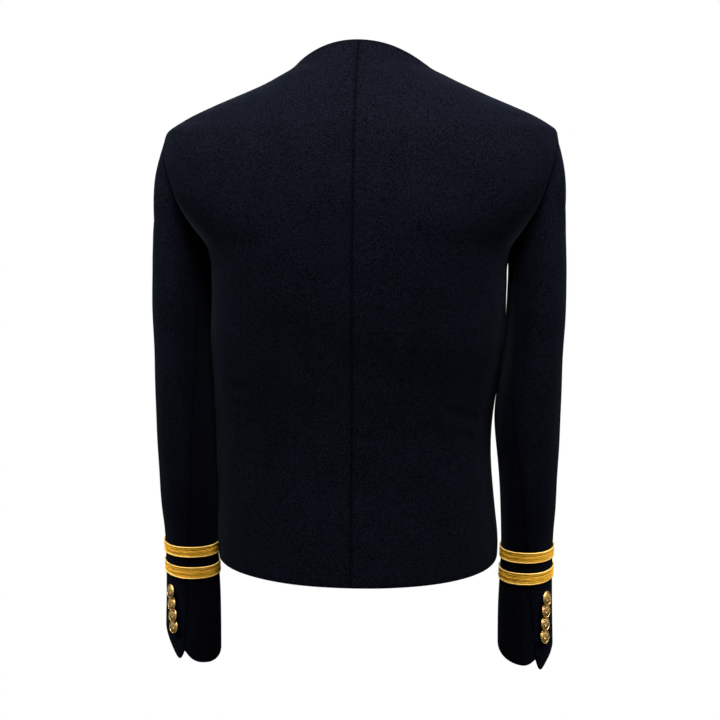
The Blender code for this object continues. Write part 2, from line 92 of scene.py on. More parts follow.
# Rings of the torso: half width, depth behind and before the shoulder line, and how square
BodyRing = namedtuple("BodyRing", "height half_width back front back_square front_square")
BODY = (
    BodyRing(-0.560, 0.1500, 0.1170, 0.1210, 2.1, 2.2),
    BodyRing(-0.530, 0.1530, 0.1155, 0.1210, 2.1, 2.2),
    BodyRing(-0.508, 0.1546, 0.1136, 0.1212, 2.1, 2.2),
    BodyRing(-0.473, 0.1539, 0.1105, 0.1216, 2.2, 2.3),
    BodyRing(-0.430, 0.1540, 0.1075, 0.1222, 2.3, 2.4),
    BodyRing(-0.380, 0.1556, 0.1068, 0.1230, 2.4, 2.4),
    BodyRing(-0.330, 0.1580, 0.1095, 0.1250, 2.6, 2.45),
    BodyRing(-0.280, 0.1594, 0.1142, 0.1277, 2.8, 2.5),
    BodyRing(-0.232, 0.1580, 0.1178, 0.1280, 3.0, 2.6),
    BodyRing(-0.203, 0.1592, 0.1190, 0.1260, 3.1, 2.6),
    BodyRing(-0.188, 0.1638, 0.1192, 0.1240, 3.1, 2.5),
    BodyRing(-0.172, 0.1765, 0.1190, 0.1210, 3.1, 2.4),
    BodyRing(-0.150, 0.1935, 0.1180, 0.1150, 3.0, 2.3),
    BodyRing(-0.130, 0.2055, 0.1160, 0.1085, 2.8, 2.2),
    BodyRing(-0.113, 0.2130, 0.1135, 0.1030, 2.6, 2.15),
    BodyRing(-0.096, 0.2175, 0.1105, 0.0965, 2.4, 2.1),
    BodyRing(-0.078, 0.2150, 0.1060, 0.0880, 2.2, 2.05),
    BodyRing(-0.065, 0.2070, 0.1015, 0.0815, 2.1, 2.0),
    BodyRing(-0.058, 0.1970, 0.0985, 0.0780, 2.0, 2.0),
    BodyRing(-0.050, 0.1825, 0.0948, 0.0742, 2.0, 2.0),
    BodyRing(-0.042, 0.1645, 0.0908, 0.0700, 2.0, 2.0),
    BodyRing(-0.029, 0.1342, 0.0835, 0.0640, 2.0, 2.0),
    BodyRing(-0.016, 0.1053, 0.0755, 0.0580, 2.0, 2.0),
    BodyRing(-0.008, 0.0900, 0.0700, 0.0540, 2.0, 2.0),
    BodyRing(0.000, 0.0750, 0.0640, 0.0500, 2.0, 2.0),
    BodyRing(0.008, 0.0663, 0.0590, 0.0465, 2.0, 2.0),
    BodyRing(0.016, 0.0600, 0.0545, 0.0435, 2.0, 2.0),
    BodyRing(0.025, 0.0560, 0.0500, 0.0405, 2.0, 2.0),
    BodyRing(0.040, 0.0510, 0.0430, 0.0370, 2.0, 2.0),
)

# Rings of the sleeve below the cap: centre, half sizes, and the hind seam in degrees
SleeveRing = namedtuple("SleeveRing", "height across along half_width half_depth hind")
SLEEVE = (
    SleeveRing(-0.260, 0.1935, 0.001, 0.0314, 0.0660, 135.0),
    SleeveRing(-0.320, 0.1918, 0.003, 0.0309, 0.0620, 128.0),
    SleeveRing(-0.400, 0.1889, 0.003, 0.0317, 0.0570, 113.0),
    SleeveRing(-0.460, 0.1887, -0.001, 0.0302, 0.0520, 104.0),
    SleeveRing(-0.520, 0.1888, -0.009, 0.0280, 0.0470, 93.5),
    SleeveRing(-0.580, 0.1883, -0.018, 0.0290, 0.0445, 83.0),
    SleeveRing(-0.640, 0.1897, -0.027, 0.0299, 0.0435, 72.0),
    SleeveRing(-0.690, 0.1905, -0.034, 0.0310, 0.0430, 65.0),
)

# How square the sleeve is, where its cap ends, the turn of its fore seam in degrees, the height of
# its hem and how that slopes, which sets in at a share of the way down
SLEEVE_SQUARE = 2.2
CAP_END = -0.260
FRONT_SEAM = 135.0
SLEEVE_HEM = -0.629
HEM_SLOPE = 0.385
HEM_SLOPE_FROM = 0.73

# How each arm hangs: how far out; how far the cuff sways out; its lift and twist; the tilt of its
# hem, lower on the inside; how far its hind seam turns; and its fullness, at a height, over a reach
Arm = namedtuple("Arm", "out sway lift twist tilt seam_turn fullness full_height full_reach")
ARMS = {
    LEFT: Arm(-0.0007, -0.0003, -0.0005, 24.1, 0.287, 0.0, 0.0031, -0.484, 0.084),
    RIGHT: Arm(-0.0038, 0.0002, 0.0017, 13.4, -0.142, -10.0, 0.0075, -0.361, 0.051),
}

# Shares of the way down an arm at which its twist, its sway and the tilt of its hem set in
TWIST_FROM = 0.40
SWAY_FROM = 0.45
TILT_FROM = 0.84

# The sleeve leaves the armhole at this angle to the body: mean and swing from the top to the armpit
TURN_MEAN = -61.5
TURN_SWING = 93.5

# How far the cap keeps to the way it leaves the armhole, and to the way it joins the sleeve
CAP_START_MEAN = 0.0225
CAP_START_SWING = 0.0150
CAP_FINISH_MEAN = 0.0525
CAP_FINISH_SWING = 0.0375

# The vent at the end of the hind seam: the hem rises into a notch there, and beside it the top
# sleeve ends in a tip. A column of the top or under sleeve is so wide at the cuff.
VENT_NOTCH = 0.0070
NOTCH_TOP = 0.0040
NOTCH_UNDER = 0.0090
NOTCH_POWER = 1.5
VENT_TIP = 0.0084
TIP_AWAY = 0.0055
VENT_FROM = 0.80
TOP_COLUMN_WIDTH = 0.0052
UNDER_COLUMN_WIDTH = 0.016

# Columns of the two sleeve pieces, and the steps that find the ways along a surface
TOP_COLUMNS = 9
UNDER_COLUMNS = 6
SMALL_STEP = 1e-5
SLOPE_STEP = 1e-3


def smooth(table, column, height):
    """Read a column of a ring table at any height, along a smooth curve through its rows."""
    rows = sorted(table)
    x = np.array([row.height for row in rows])
    y = np.array([getattr(row, column) for row in rows])
    slope = np.gradient(y, x)
    i = np.clip(np.searchsorted(x, height) - 1, 0, len(x) - 2)
    span = x[i + 1] - x[i]
    t = (height - x[i]) / span
    start = (2 * t**3 - 3 * t**2 + 1) * y[i] + (t**3 - 2 * t**2 + t) * span * slope[i]
    finish = (3 * t**2 - 2 * t**3) * y[i + 1] + (t**3 - t**2) * span * slope[i + 1]
    return start + finish


def ease(value):
    """Go softly from 0 to 1 as the value does."""
    value = np.clip(value, 0.0, 1.0)
    return value * value * (3.0 - 2.0 * value)


def unit(vectors):
    """Scale vectors to length one."""
    return vectors / np.linalg.norm(vectors, axis=-1, keepdims=True)


def square_reach(angle, square):
    """Distance from the middle to the rim of a squared circle of radius one, at an angle."""
    return (np.abs(np.sin(angle)) ** square + np.abs(np.cos(angle)) ** square) ** (-1.0 / square)


def hang(x, y, z):
    """Put points where the unevenly worn cloth has them: the right shoulder stands higher."""
    share = np.sign(x) * ease(np.abs(x) / TILT_WIDTH) * ease((z - TILT_BOTTOM) / TILT_WIDTH)
    return np.stack([x, y, z - SHOULDER_TILT * share], axis=-1)


def body_point(side, face, angle, height):
    """Point of the torso; the angle is 0 on the centre line and a quarter turn at the side."""
    angle, height = np.broadcast_arrays(angle, height)
    fall = WAIST_FALL * np.exp(-(((height - WAIST_HEIGHT) / WAIST_REACH) ** 2))
    half = smooth(BODY, "half_width", height) - fall * (side == RIGHT)
    depth = smooth(BODY, face, height)
    reach = square_reach(angle, smooth(BODY, face + "_square", height))
    forward = 1.0 if face == "back" else -1.0
    x = side * half * np.sin(angle) * reach
    return hang(x, forward * depth * np.cos(angle) * reach, height)


def normal(surface, u, v):
    """Unit normal of a surface of two values, from small steps on it."""
    along_u = surface(u + SMALL_STEP, v) - surface(u - SMALL_STEP, v)
    along_v = surface(u, v + SMALL_STEP) - surface(u, v - SMALL_STEP)
    return unit(np.cross(along_u, along_v))


def body_normal(side, face, angle, height):
    """Outward normal of the torso."""
    turned = -side if face == "back" else side
    return turned * normal(lambda a, h: body_point(side, face, a, h), angle, height)


def section_angle(face, height, across):
    """Angle on the torso of a point that lies at a share of the half width."""
    square = smooth(BODY, face + "_square", height)
    return np.arctan2(across, (1.0 - across**square) ** (1.0 / square))


def armhole_edge(face, turn):
    """Angle and height on the torso of the armhole, at a turn from its top round to the armpit."""
    middle, half = (SHOULDER_TIP + ARMPIT) / 2.0, (SHOULDER_TIP - ARMPIT) / 2.0
    height = middle + half * np.cos(turn)
    width = ARMHOLE_BACK if face == "back" else ARMHOLE_FRONT
    part = width * np.abs(np.sin(turn)) / smooth(BODY, face, height)
    square = smooth(BODY, face + "_square", height)
    return np.arctan2((1.0 - part**square) ** (1.0 / square), part), height


def armhole(side, turn):
    """Point and outward body normal on the armhole; the turn goes top, back, armpit, front."""
    turn = np.asarray(turn, float)
    behind = (np.sin(turn) >= 0.0)[..., None]
    found = []
    for face in ("back", "front"):
        angle, height = armhole_edge(face, turn)
        found.append((body_point(side, face, angle, height), body_normal(side, face, angle, height)))
    (back_at, back_out), (front_at, front_out) = found
    return np.where(behind, back_at, front_at), np.where(behind, back_out, front_out)


def armhole_frame(side, turn):
    """Armhole point, body normal, the way on from the body, and the sleeve's angle to it."""
    at, out = armhole(side, turn)
    along = unit(armhole(side, turn + SMALL_STEP)[0] - armhole(side, turn - SMALL_STEP)[0])
    onward = side * np.cross(along, out)
    bend = np.radians(TURN_MEAN + TURN_SWING * np.cos(turn))[..., None]
    return at, out, onward, bend


def arm_down(height):
    """Share of the way from the cap down to the cuff's hem."""
    return np.clip((CAP_END - height) / (CAP_END - SLEEVE_HEM), 0.0, None)


def ease_from(down, start):
    """Go softly from 0 to 1 between a share of the way down the arm and the cuff's hem."""
    return ease((down - start) / (1.0 - start))


def sleeve_angle(side, column, height):
    """Angle round the sleeve, in radians, of a column that runs between the two seams."""
    hind = smooth(SLEEVE, "hind", np.minimum(height, CAP_END))
    hind = hind + ARMS[side].seam_turn * ease_from(arm_down(height), SWAY_FROM)
    outer = np.where(column >= 0, column / TOP_COLUMNS * hind, column / TOP_COLUMNS * FRONT_SEAM)
    share = (column - TOP_COLUMNS) / UNDER_COLUMNS
    inner = hind + share * (360.0 - FRONT_SEAM - hind)
    return np.radians(np.where(column <= TOP_COLUMNS, outer, inner))


def tube_point(side, angle, height):
    """Point of the sleeve below its cap; the angle goes from outside to back, inside, front."""
    angle, height = np.broadcast_arrays(angle, height)
    arm = ARMS[side]
    down = arm_down(height)
    twist = math.radians(arm.twist) * ease_from(down, TWIST_FROM)
    local = angle - twist
    reach = square_reach(local, SLEEVE_SQUARE)
    full = arm.fullness / 2.0 * np.exp(-(((height - arm.full_height) / arm.full_reach) ** 2))
    out = arm.out + arm.sway * ease_from(down, SWAY_FROM)
    wide = (smooth(SLEEVE, "half_width", height) + full) * np.cos(local) * reach
    deep = smooth(SLEEVE, "half_depth", height) * np.sin(local) * reach
    across = wide * np.cos(twist) - deep * np.sin(twist)
    along = wide * np.sin(twist) + deep * np.cos(twist)
    x = smooth(SLEEVE, "across", height) - full + out + across
    y = smooth(SLEEVE, "along", height) + along
    slope = HEM_SLOPE * ease_from(down, HEM_SLOPE_FROM)
    tilt = arm.tilt * ease_from(down, TILT_FROM)
    return hang(side * x, y, height + arm.lift * ease(down) - slope * along + tilt * across)


def tube_normal(side, angle, height):
    """Outward normal of the sleeve below its cap."""
    return side * normal(lambda a, h: tube_point(side, a, h), angle, height)


def cap_point(side, angle, share):
    """Point of the sleeve cap, from the armhole at share 0 to the top of the tube at share 1."""
    angle, share = np.broadcast_arrays(angle, share)
    share = share[..., None]
    at, out, onward, bend = armhole_frame(side, angle)
    start = at + SEAM * (onward * np.cos(bend / 2) - out * np.sin(bend / 2))
    leave = onward * np.cos(bend) - out * np.sin(bend)
    end = tube_point(side, angle, CAP_END)
    down = unit(tube_point(side, angle, CAP_END - SLOPE_STEP) - end)
    swing = np.cos(angle)[..., None]
    first = start + (CAP_START_MEAN + CAP_START_SWING * swing) * leave
    last = end - (CAP_FINISH_MEAN + CAP_FINISH_SWING * swing) * down
    rest = 1.0 - share
    return rest**3 * start + 3 * rest**2 * share * first + 3 * rest * share**2 * last + share**3 * end


def cap_normal(side, angle, share):
    """Outward normal of the sleeve cap."""
    return -side * normal(lambda a, s: cap_point(side, a, s), angle, share)


# How many rows of the cut a piece has, which its finer lines count in
LOWER_ROWS = 9
ARMHOLE_STEPS = 12
SHOULDER_ROWS = 5
PANEL_ROWS = LOWER_ROWS + ARMHOLE_STEPS + SHOULDER_ROWS
HOLE_TOP_ROW = LOWER_ROWS + ARMHOLE_STEPS
CAP_ROWS = 7
TUBE_ROWS = 14

# Powers by which the rows change height from the centre to the side, above the armpit and below
LEVEL_POWER = 2.5
HEM_POWER = 0.68

# Lines of a piece: between two rows or columns, how many, and the length of one row or column
# where the lines crowd beside an edge, or nothing where they don't
Stretch = namedtuple("Stretch", "start finish count start_unit finish_unit")
PANEL_LINES = (
    Stretch(0, LOWER_ROWS, 104, 0.0362, 0.0362),
    Stretch(LOWER_ROWS, HOLE_TOP_ROW, 72, None, None),
    Stretch(HOLE_TOP_ROW, PANEL_ROWS, 44, 0.028, 0.028),
)
PANEL_ACROSS = (Stretch(0.0, 1.0, 50, 0.20, 0.20),)
SLEEVE_LINES = (
    Stretch(0, CAP_ROWS, 62, 0.020, None),
    Stretch(CAP_ROWS, CAP_ROWS + TUBE_ROWS, 124, None, 0.0264),
)
TOP_ACROSS = (Stretch(-TOP_COLUMNS, TOP_COLUMNS, 54, 0.010, 0.010),)
UNDER_ACROSS = (Stretch(TOP_COLUMNS, TOP_COLUMNS + UNDER_COLUMNS, 24, 0.016, 0.016),)

# How far the crowded lines lie from an edge, how many lines its roll takes in, the digits that tell
# lines apart, how far a seam and a mitre reach, the share of the cloth that an edge rolls away,
# and the radius on which turns round the arm are laid out as lengths
NEAR_EDGE = (0.0, 0.00015, 0.0004, 0.0007, 0.0011, 0.0017, 0.0026)
EDGE_BAND = 13
LINE_DIGITS = 9
SEAM_FADE = 0.003
MITRE_REACH = 0.010
ROLL_SHARE = 0.86
ARM_ROUND = 0.045


def lines(stretches):
    """Places of the lines across a piece, which stand close together beside its edges."""
    near = np.array(NEAR_EDGE)
    places = []
    for stretch in stretches:
        first = stretch.start + (near / stretch.start_unit if stretch.start_unit else near[:1])
        last = stretch.finish - (near / stretch.finish_unit if stretch.finish_unit else near[:1])
        places += [first, np.linspace(first[-1], last[-1], stretch.count), last]
    return np.unique(np.round(np.concatenate(places), LINE_DIGITS))


def hole_turn(row):
    """Turn round the armhole of a panel's row, from the armpit at half a turn up to the top."""
    return math.pi * (1.0 - np.clip((row - LOWER_ROWS) / ARMHOLE_STEPS, 0.0, 1.0))


def panel_rows(face, row):
    """Height on the outer side, height on the centre line and outer angle of rows of a panel."""
    hole_angle, hole = armhole_edge(face, hole_turn(row))
    lower = HEM_SIDE + row / LOWER_ROWS * (ARMPIT - HEM_SIDE)
    upper = SHOULDER_TIP + (row - HOLE_TOP_ROW) / SHOULDER_ROWS * (NECK_POINT - SHOULDER_TIP)
    outer = np.where(row <= LOWER_ROWS, lower, np.where(row >= HOLE_TOP_ROW, upper, hole))
    at_hole = (row > LOWER_ROWS) & (row < HOLE_TOP_ROW)
    edge = np.where(at_hole, hole_angle, math.pi / 2.0)
    hem, top = (HEM_BACK, NAPE) if face == "back" else (HEM_FRONT, FRONT_NECK)
    share = (outer - ARMPIT) / (NECK_POINT - ARMPIT)
    centre = np.where(outer < ARMPIT, outer, ARMPIT + share * (top - ARMPIT))
    drop = (outer - ARMPIT) / (HEM_SIDE - ARMPIT)
    return outer, centre + np.clip(drop, 0.0, 1.0) ** HEM_BEND * (hem - HEM_SIDE), edge


def neckline(face, share):
    """Angle and height on the torso of the neck edge, from the centre to the neck point."""
    height = (NAPE if face == "back" else FRONT_NECK) * np.cos(share * math.pi / 2.0)
    if face == "back":
        return share * math.pi / 2.0, height
    across = smooth(BODY, "half_width", NECK_POINT) * np.sin(share * math.pi / 2.0)
    return section_angle(face, height, across / smooth(BODY, "half_width", height)), height


def panel_place(face, row, share):
    """Angle and height on the torso of places on a panel: rows from hem to neck, centre to side."""
    outer_heights, centre_heights, edge = panel_rows(face, row)
    quarter = math.pi / 2.0
    angle = share * quarter - (quarter - edge) * share**3
    climb = ease((outer_heights - SHOULDER_TIP) / (NECK_POINT - SHOULDER_TIP))
    power = np.where(row <= LOWER_ROWS, HEM_POWER, LEVEL_POWER - (LEVEL_POWER - 1.0) * climb)
    blend = np.cos(share * quarter) ** power
    height = outer_heights * (1.0 - blend) + centre_heights * blend
    neck_angle, neck_height = neckline(face, share)
    height = np.where(row >= PANEL_ROWS, neck_height, height)
    return angle * (1.0 - climb) + neck_angle * climb, height


def armhole_inner(side, turn, onto_sleeve):
    """Inner edge of the cloth at the armhole: mitred where body and sleeve meet as a ridge."""
    at, out, onward, bend = armhole_frame(side, turn)
    sleeve_out = out * np.cos(bend) + onward * np.sin(bend)
    across = onward * np.cos(bend / 2) - out * np.sin(bend / 2)
    own = sleeve_out if onto_sleeve else out
    mitre = (out + sleeve_out) / (1.0 + np.cos(np.maximum(bend, 0.0)))
    inward = np.where(bend > 0.0, mitre, own)
    return at + onto_sleeve * SEAM * across - CLOTH * inward


def fade(distance, reach):
    """Share that falls softly from 1 to 0 over a distance."""
    return ease(1.0 - distance / reach)


def run_length(points, axis):
    """Length along the lines of a grid from its first line."""
    steps = np.linalg.norm(np.diff(points, axis=axis), axis=-1)
    zero = np.zeros_like(np.take(steps, [0], axis=axis))
    return np.concatenate([zero, np.cumsum(steps, axis=axis)], axis=axis)


def panel(side, face):
    """Outer points of a panel, the way through the cloth and the width and height for creases."""
    row = lines(PANEL_LINES)[:, None]
    share = lines(PANEL_ACROSS)[None, :]
    angle, height = panel_place(face, row, share)
    outer = body_point(side, face, angle, height)
    through = CLOTH * body_normal(side, face, angle, height)
    across = run_length(outer, 1)
    to_side = across[:, -1:] - across
    turn = hole_turn(row[:, 0])
    mitred = outer[:, -1] - armhole_inner(side, turn if face == "back" else -turn, 0.0)
    at_hole = ((row > LOWER_ROWS) & (row < HOLE_TOP_ROW)) * fade(to_side, MITRE_REACH)
    through = through + at_hole[..., None] * (mitred[:, None] - through)
    forward = 1.0 if face == "back" else -1.0
    sewn = np.clip(np.maximum(LOWER_ROWS + 1 - row, row - HOLE_TOP_ROW + 1), 0.0, 1.0)
    outer[..., 1] += forward * SEAM / 2.0 * sewn * fade(to_side, SEAM_FADE)
    outer[..., 0] += side * SEAM / 2.0 * fade(across, SEAM_FADE)
    return outer, through, outer[..., 0], outer[..., 2]


def cuff_lines(side, column, vent_side, share):
    """Heights and angles of places below the cap, down to a hem shaped for the vent."""
    top = vent_side == "top"
    away = np.abs(column - TOP_COLUMNS) * (TOP_COLUMN_WIDTH if top else UNDER_COLUMN_WIDTH)
    shift = VENT_NOTCH * np.exp(-away / NOTCH_TOP if top else -((away / NOTCH_UNDER) ** NOTCH_POWER))
    if top:
        shift = shift - VENT_TIP * away / TIP_AWAY * np.exp(1.0 - away / TIP_AWAY)
    height = CAP_END + share * (SLEEVE_HEM - CAP_END)
    height = height + shift * ease((share - VENT_FROM) / (1.0 - VENT_FROM))
    return height, sleeve_angle(side, column, height)


def sleeve(side, across, vent_side):
    """Outer points of a sleeve piece, the way through the cloth and the places for creases."""
    row = lines(SLEEVE_LINES)[:, None]
    column = lines(across)[None, :]
    cap_row = row[row <= CAP_ROWS][:, None]
    cap_angle = np.radians(column * 180.0 / ARMHOLE_STEPS)
    cap = cap_point(side, cap_angle, cap_row / CAP_ROWS)
    cap_out = cap_normal(side, cap_angle, cap_row / CAP_ROWS)
    tube_row = row[row > CAP_ROWS][:, None]
    height, angle = cuff_lines(side, column, vent_side, (tube_row - CAP_ROWS) / TUBE_ROWS)
    tube = tube_point(side, angle, height)
    tube_out = tube_normal(side, angle, height)
    outer = np.concatenate([cap, tube])
    through = CLOTH * np.concatenate([cap_out, tube_out])
    mitred = outer[:1] - armhole_inner(side, cap_angle[0], 1.0)
    from_hole = fade(run_length(outer, 0), MITRE_REACH)[..., None]
    through = through + from_hole * (mitred - through)
    from_edge = run_length(outer, 1)
    beyond = len(NEAR_EDGE)
    for edge, length in ((0, from_edge), (-1, from_edge[:, -1:] - from_edge)):
        inward = unit(outer[:, beyond if edge == 0 else -beyond] - outer[:, edge])
        outer += SEAM / 2.0 * fade(length, SEAM_FADE)[..., None] * inward[:, None]
    round_arm = np.concatenate([np.broadcast_to(cap_angle, cap.shape[:2]), angle]) * ARM_ROUND
    return outer, through, round_arm, outer[..., 2]


# Creases of the body, in width and height as seen from behind or in front: a soft trough, or a
# ridge where the depth is above nothing, which bows to one side and dies away at both ends
Crease = namedtuple("Crease", "start_across start_height end_across end_height bow width depth")
BACK_CREASES = (
    Crease(0.139, -0.334, 0.097, -0.346, 0.003, 0.006, -0.0007),
    Crease(0.128, -0.352, 0.104, -0.356, -0.002, 0.004, -0.0004),
    Crease(0.058, -0.320, 0.032, -0.323, 0.002, 0.004, -0.0004),
    Crease(0.006, -0.385, -0.028, -0.389, 0.002, 0.005, -0.0005),
    Crease(-0.142, -0.372, -0.092, -0.352, 0.004, 0.007, -0.0008),
    Crease(-0.136, -0.392, -0.104, -0.381, 0.002, 0.005, -0.0005),
    Crease(0.150, -0.212, 0.118, -0.288, 0.006, 0.009, -0.0010),
    Crease(-0.148, -0.208, -0.120, -0.270, -0.005, 0.009, -0.0009),
    Crease(0.158, -0.090, 0.112, -0.058, 0.004, 0.010, -0.0006),
    Crease(-0.156, -0.094, -0.104, -0.060, -0.004, 0.010, -0.0006),
    Crease(0.142, -0.482, 0.040, -0.487, 0.002, 0.004, 0.0003),
    Crease(0.030, -0.489, -0.070, -0.488, -0.001, 0.004, 0.0002),
    Crease(-0.082, -0.488, -0.140, -0.482, 0.001, 0.004, 0.0003),
)
FRONT_CREASES = (
    Crease(0.150, -0.206, 0.078, -0.172, 0.006, 0.010, -0.0013),
    Crease(0.146, -0.226, 0.096, -0.206, 0.003, 0.007, -0.0008),
    Crease(-0.148, -0.208, -0.084, -0.168, -0.007, 0.010, -0.0012),
    Crease(-0.144, -0.230, -0.104, -0.213, -0.002, 0.006, -0.0007),
    Crease(0.140, -0.350, 0.086, -0.362, 0.004, 0.007, -0.0008),
    Crease(-0.142, -0.368, -0.090, -0.350, -0.004, 0.008, -0.0009),
    Crease(-0.130, -0.388, -0.102, -0.380, -0.002, 0.005, -0.0005),
    Crease(0.066, -0.300, 0.052, -0.430, 0.007, 0.013, -0.0009),
    Crease(-0.060, -0.320, -0.072, -0.450, -0.006, 0.013, -0.0009),
    Crease(0.142, -0.481, 0.030, -0.486, 0.002, 0.004, 0.0003),
    Crease(-0.030, -0.486, -0.140, -0.482, -0.002, 0.004, 0.0003),
)

# Creases of the sleeves: the turn round the arm in degrees, from outside over back to inside
ArmCrease = namedtuple("ArmCrease", "start_turn start_height end_turn end_height bow width depth")
SLEEVE_CREASES = {
    LEFT: (
        ArmCrease(18, -0.120, 62, -0.178, 0.004, 0.008, -0.0007),
        ArmCrease(-96, -0.150, -60, -0.205, 0.005, 0.010, -0.0012),
        ArmCrease(-150, -0.352, -86, -0.372, 0.004, 0.007, -0.0013),
        ArmCrease(-160, -0.385, -102, -0.394, -0.003, 0.006, -0.0012),
        ArmCrease(-148, -0.414, -96, -0.408, 0.003, 0.007, -0.0009),
        ArmCrease(150, -0.330, 104, -0.352, 0.004, 0.008, -0.0008),
        ArmCrease(60, -0.415, 100, -0.440, -0.003, 0.008, -0.0006),
        ArmCrease(-60, -0.455, -20, -0.470, 0.003, 0.008, -0.0006),
    ),
    RIGHT: (
        ArmCrease(20, -0.126, 66, -0.190, 0.005, 0.009, -0.0008),
        ArmCrease(-92, -0.158, -58, -0.214, 0.004, 0.010, -0.0012),
        ArmCrease(-152, -0.346, -90, -0.362, 0.003, 0.007, -0.0012),
        ArmCrease(-158, -0.378, -98, -0.388, -0.004, 0.006, -0.0013),
        ArmCrease(-150, -0.405, -104, -0.402, 0.002, 0.007, -0.0008),
        ArmCrease(146, -0.352, 100, -0.366, 0.003, 0.008, -0.0008),
        ArmCrease(56, -0.395, 96, -0.425, -0.004, 0.009, -0.0007),
        ArmCrease(-52, -0.462, -14, -0.474, 0.002, 0.008, -0.0005),
    ),
}

# How creases fade out at their ends, rise at their sides, and keep off the edges, the braid and
# the inner side of the arm
CREASE_TAPER = 0.8
SIDE_RIDGE = 0.35
SIDE_RIDGE_AT = 1.6
CREASE_MARGIN = 0.022
CUFF_FLAT_FROM = -0.484
CUFF_FLAT_REACH = 0.020
CALM_FROM = 0.45
CALM_SHARE = 0.75

# Slow swells of thick cloth: how many turns of a wave in a metre each way, its start and its size
Swell = namedtuple("Swell", "across height phase size")
SWELLS = (
    Swell(7.1, 2.3, 0.4, 0.00030),
    Swell(-3.9, 8.3, 2.1, 0.00028),
    Swell(12.7, 5.9, 4.4, 0.00016),
    Swell(4.1, -14.9, 1.2, 0.00014),
)

# Radius of the roll along each edge of a piece: its first row, last row, first and last column
Roll = namedtuple("Roll", "first last start finish")

# How far from each edge of a piece, sewn or rolled, the felt is painted darker, as painted shade
# in the seams and where the edges roll away
SHADE_REACH = 0.0012


class JacketCloth(bpy.types.PropertyGroup):
    """Sizes and colours of the felted wool."""

    edge_round: FloatProperty(
        name="Edge round",
        description="Radius of the rolled neck, hem, front and cuff edges",
        default=0.0011,
        unit="LENGTH",
    )
    seam_round: FloatProperty(
        name="Seam round",
        description="Radius by which the cloth rolls into a seam",
        default=0.0015,
        unit="LENGTH",
    )
    creases: FloatProperty(
        name="Creases",
        description="How deep the creases are, as a share of their own depths",
        default=1.0,
        subtype="FACTOR",
    )
    # Besides the dark of the nap, the felt is painted towards this colour as painted shade beside its edges
    # and seams
    shade_colour: FloatVectorProperty(
        name="Shade colour",
        description="Colour of the felt between its fibres",
        default=(0.0005, 0.0005, 0.0010),
        subtype="COLOR",
    )
    nap_colour: FloatVectorProperty(
        name="Nap colour",
        description="Colour of the raised fibres",
        default=(0.0036, 0.0041, 0.0070),
        subtype="COLOR",
    )
    sheen_colour: FloatVectorProperty(
        name="Sheen colour",
        description="Colour of the light that the raised fibres catch",
        default=(0.60, 0.80, 1.0),
        subtype="COLOR",
    )
    nap_size: FloatProperty(
        name="Nap size",
        description="Size of the tufts in the nap",
        default=0.0013,
        unit="LENGTH",
    )
    stitch_pitch: FloatProperty(
        name="Stitch pitch",
        description="Length of one stitch in the seams",
        default=0.0025,
        unit="LENGTH",
    )
    thread: FloatProperty(
        name="Thread",
        description="Thickness of the sewing thread",
        default=0.00035,
        unit="LENGTH",
    )


class JacketBraid(bpy.types.PropertyGroup):
    """Sizes and colours of the gold braid."""

    pale_colour: FloatVectorProperty(
        name="Pale gold",
        description="Colour of the cords along the edges",
        default=(0.90, 0.58, 0.13),
        subtype="COLOR",
    )
    deep_colour: FloatVectorProperty(
        name="Deep gold",
        description="Colour of the threads between the cords",
        default=(0.92, 0.47, 0.012),
        subtype="COLOR",
    )
    unevenness: FloatProperty(
        name="Unevenness",
        description="How much each laid thread differs from the next, as a share",
        default=0.16,
        subtype="FACTOR",
    )
    seed: IntProperty(
        name="Seed",
        description="Number that fixes how the threads differ",
        default=7,
    )


class JacketButtons(bpy.types.PropertyGroup):
    """Sizes and colour of the gilt buttons."""

    relief: FloatProperty(
        name="Relief",
        description="Height of the struck petals",
        default=0.00050,
        unit="LENGTH",
    )
    petals: IntProperty(
        name="Petals",
        description="Number of petals on the face",
        default=8,
    )
    strands: IntProperty(
        name="Strands",
        description="Number of turns in the roped rim",
        default=26,
    )
    gilt_colour: FloatVectorProperty(
        name="Gilt",
        description="Colour of the gilt metal",
        default=(1.0, 0.70, 0.26),
        subtype="COLOR",
    )


class JacketStage(bpy.types.PropertyGroup):
    """Sizes of the floor and strengths of the lights."""

    floor_height: FloatProperty(
        name="Floor height",
        description="Height of the floor below the neck",
        default=-1.32,
        unit="LENGTH",
    )
    surround: FloatProperty(
        name="Surround",
        description="Strength of the even light from all round",
        default=0.03,
    )
    mirrored: FloatProperty(
        name="Mirrored surround",
        description="Strength of the surround as the metal mirrors it",
        default=0.60,
    )
    key: FloatProperty(
        name="Key light",
        description="Power of the soft light above and behind the camera",
        default=55.0,
        unit="POWER",
    )
    front: FloatProperty(
        name="Front light",
        description="Power of the soft light behind the camera, which the metal mirrors",
        default=3.2,
        unit="POWER",
    )
    left: FloatProperty(
        name="Left light",
        description="Power of the soft light on the jacket's left",
        default=46.0,
        unit="POWER",
    )
    right: FloatProperty(
        name="Right light",
        description="Power of the soft light on the jacket's right",
        default=42.0,
        unit="POWER",
    )
    far: FloatProperty(
        name="Far light",
        description="Power of the soft light on the side of the fronts",
        default=85.0,
        unit="POWER",
    )


def crease_relief(across, height, creases):
    """How far creases lift the cloth out of its smooth form."""
    relief = np.zeros(np.broadcast(across, height).shape)
    for crease in creases:
        way = (crease.end_across - crease.start_across, crease.end_height - crease.start_height)
        length = math.hypot(*way)
        from_start = (across - crease.start_across, height - crease.start_height)
        share = (from_start[0] * way[0] + from_start[1] * way[1]) / length**2
        off = (from_start[0] * way[1] - from_start[1] * way[0]) / length
        inside = np.clip(share, 0.0, 1.0)
        beside = (off - crease.bow * 4.0 * inside * (1.0 - inside)) / crease.width
        taper = np.sin(math.pi * inside) ** CREASE_TAPER
        form = np.exp(-(beside**2)) - SIDE_RIDGE * np.exp(-((beside - SIDE_RIDGE_AT) ** 2))
        relief += crease.depth * taper * form
    return relief


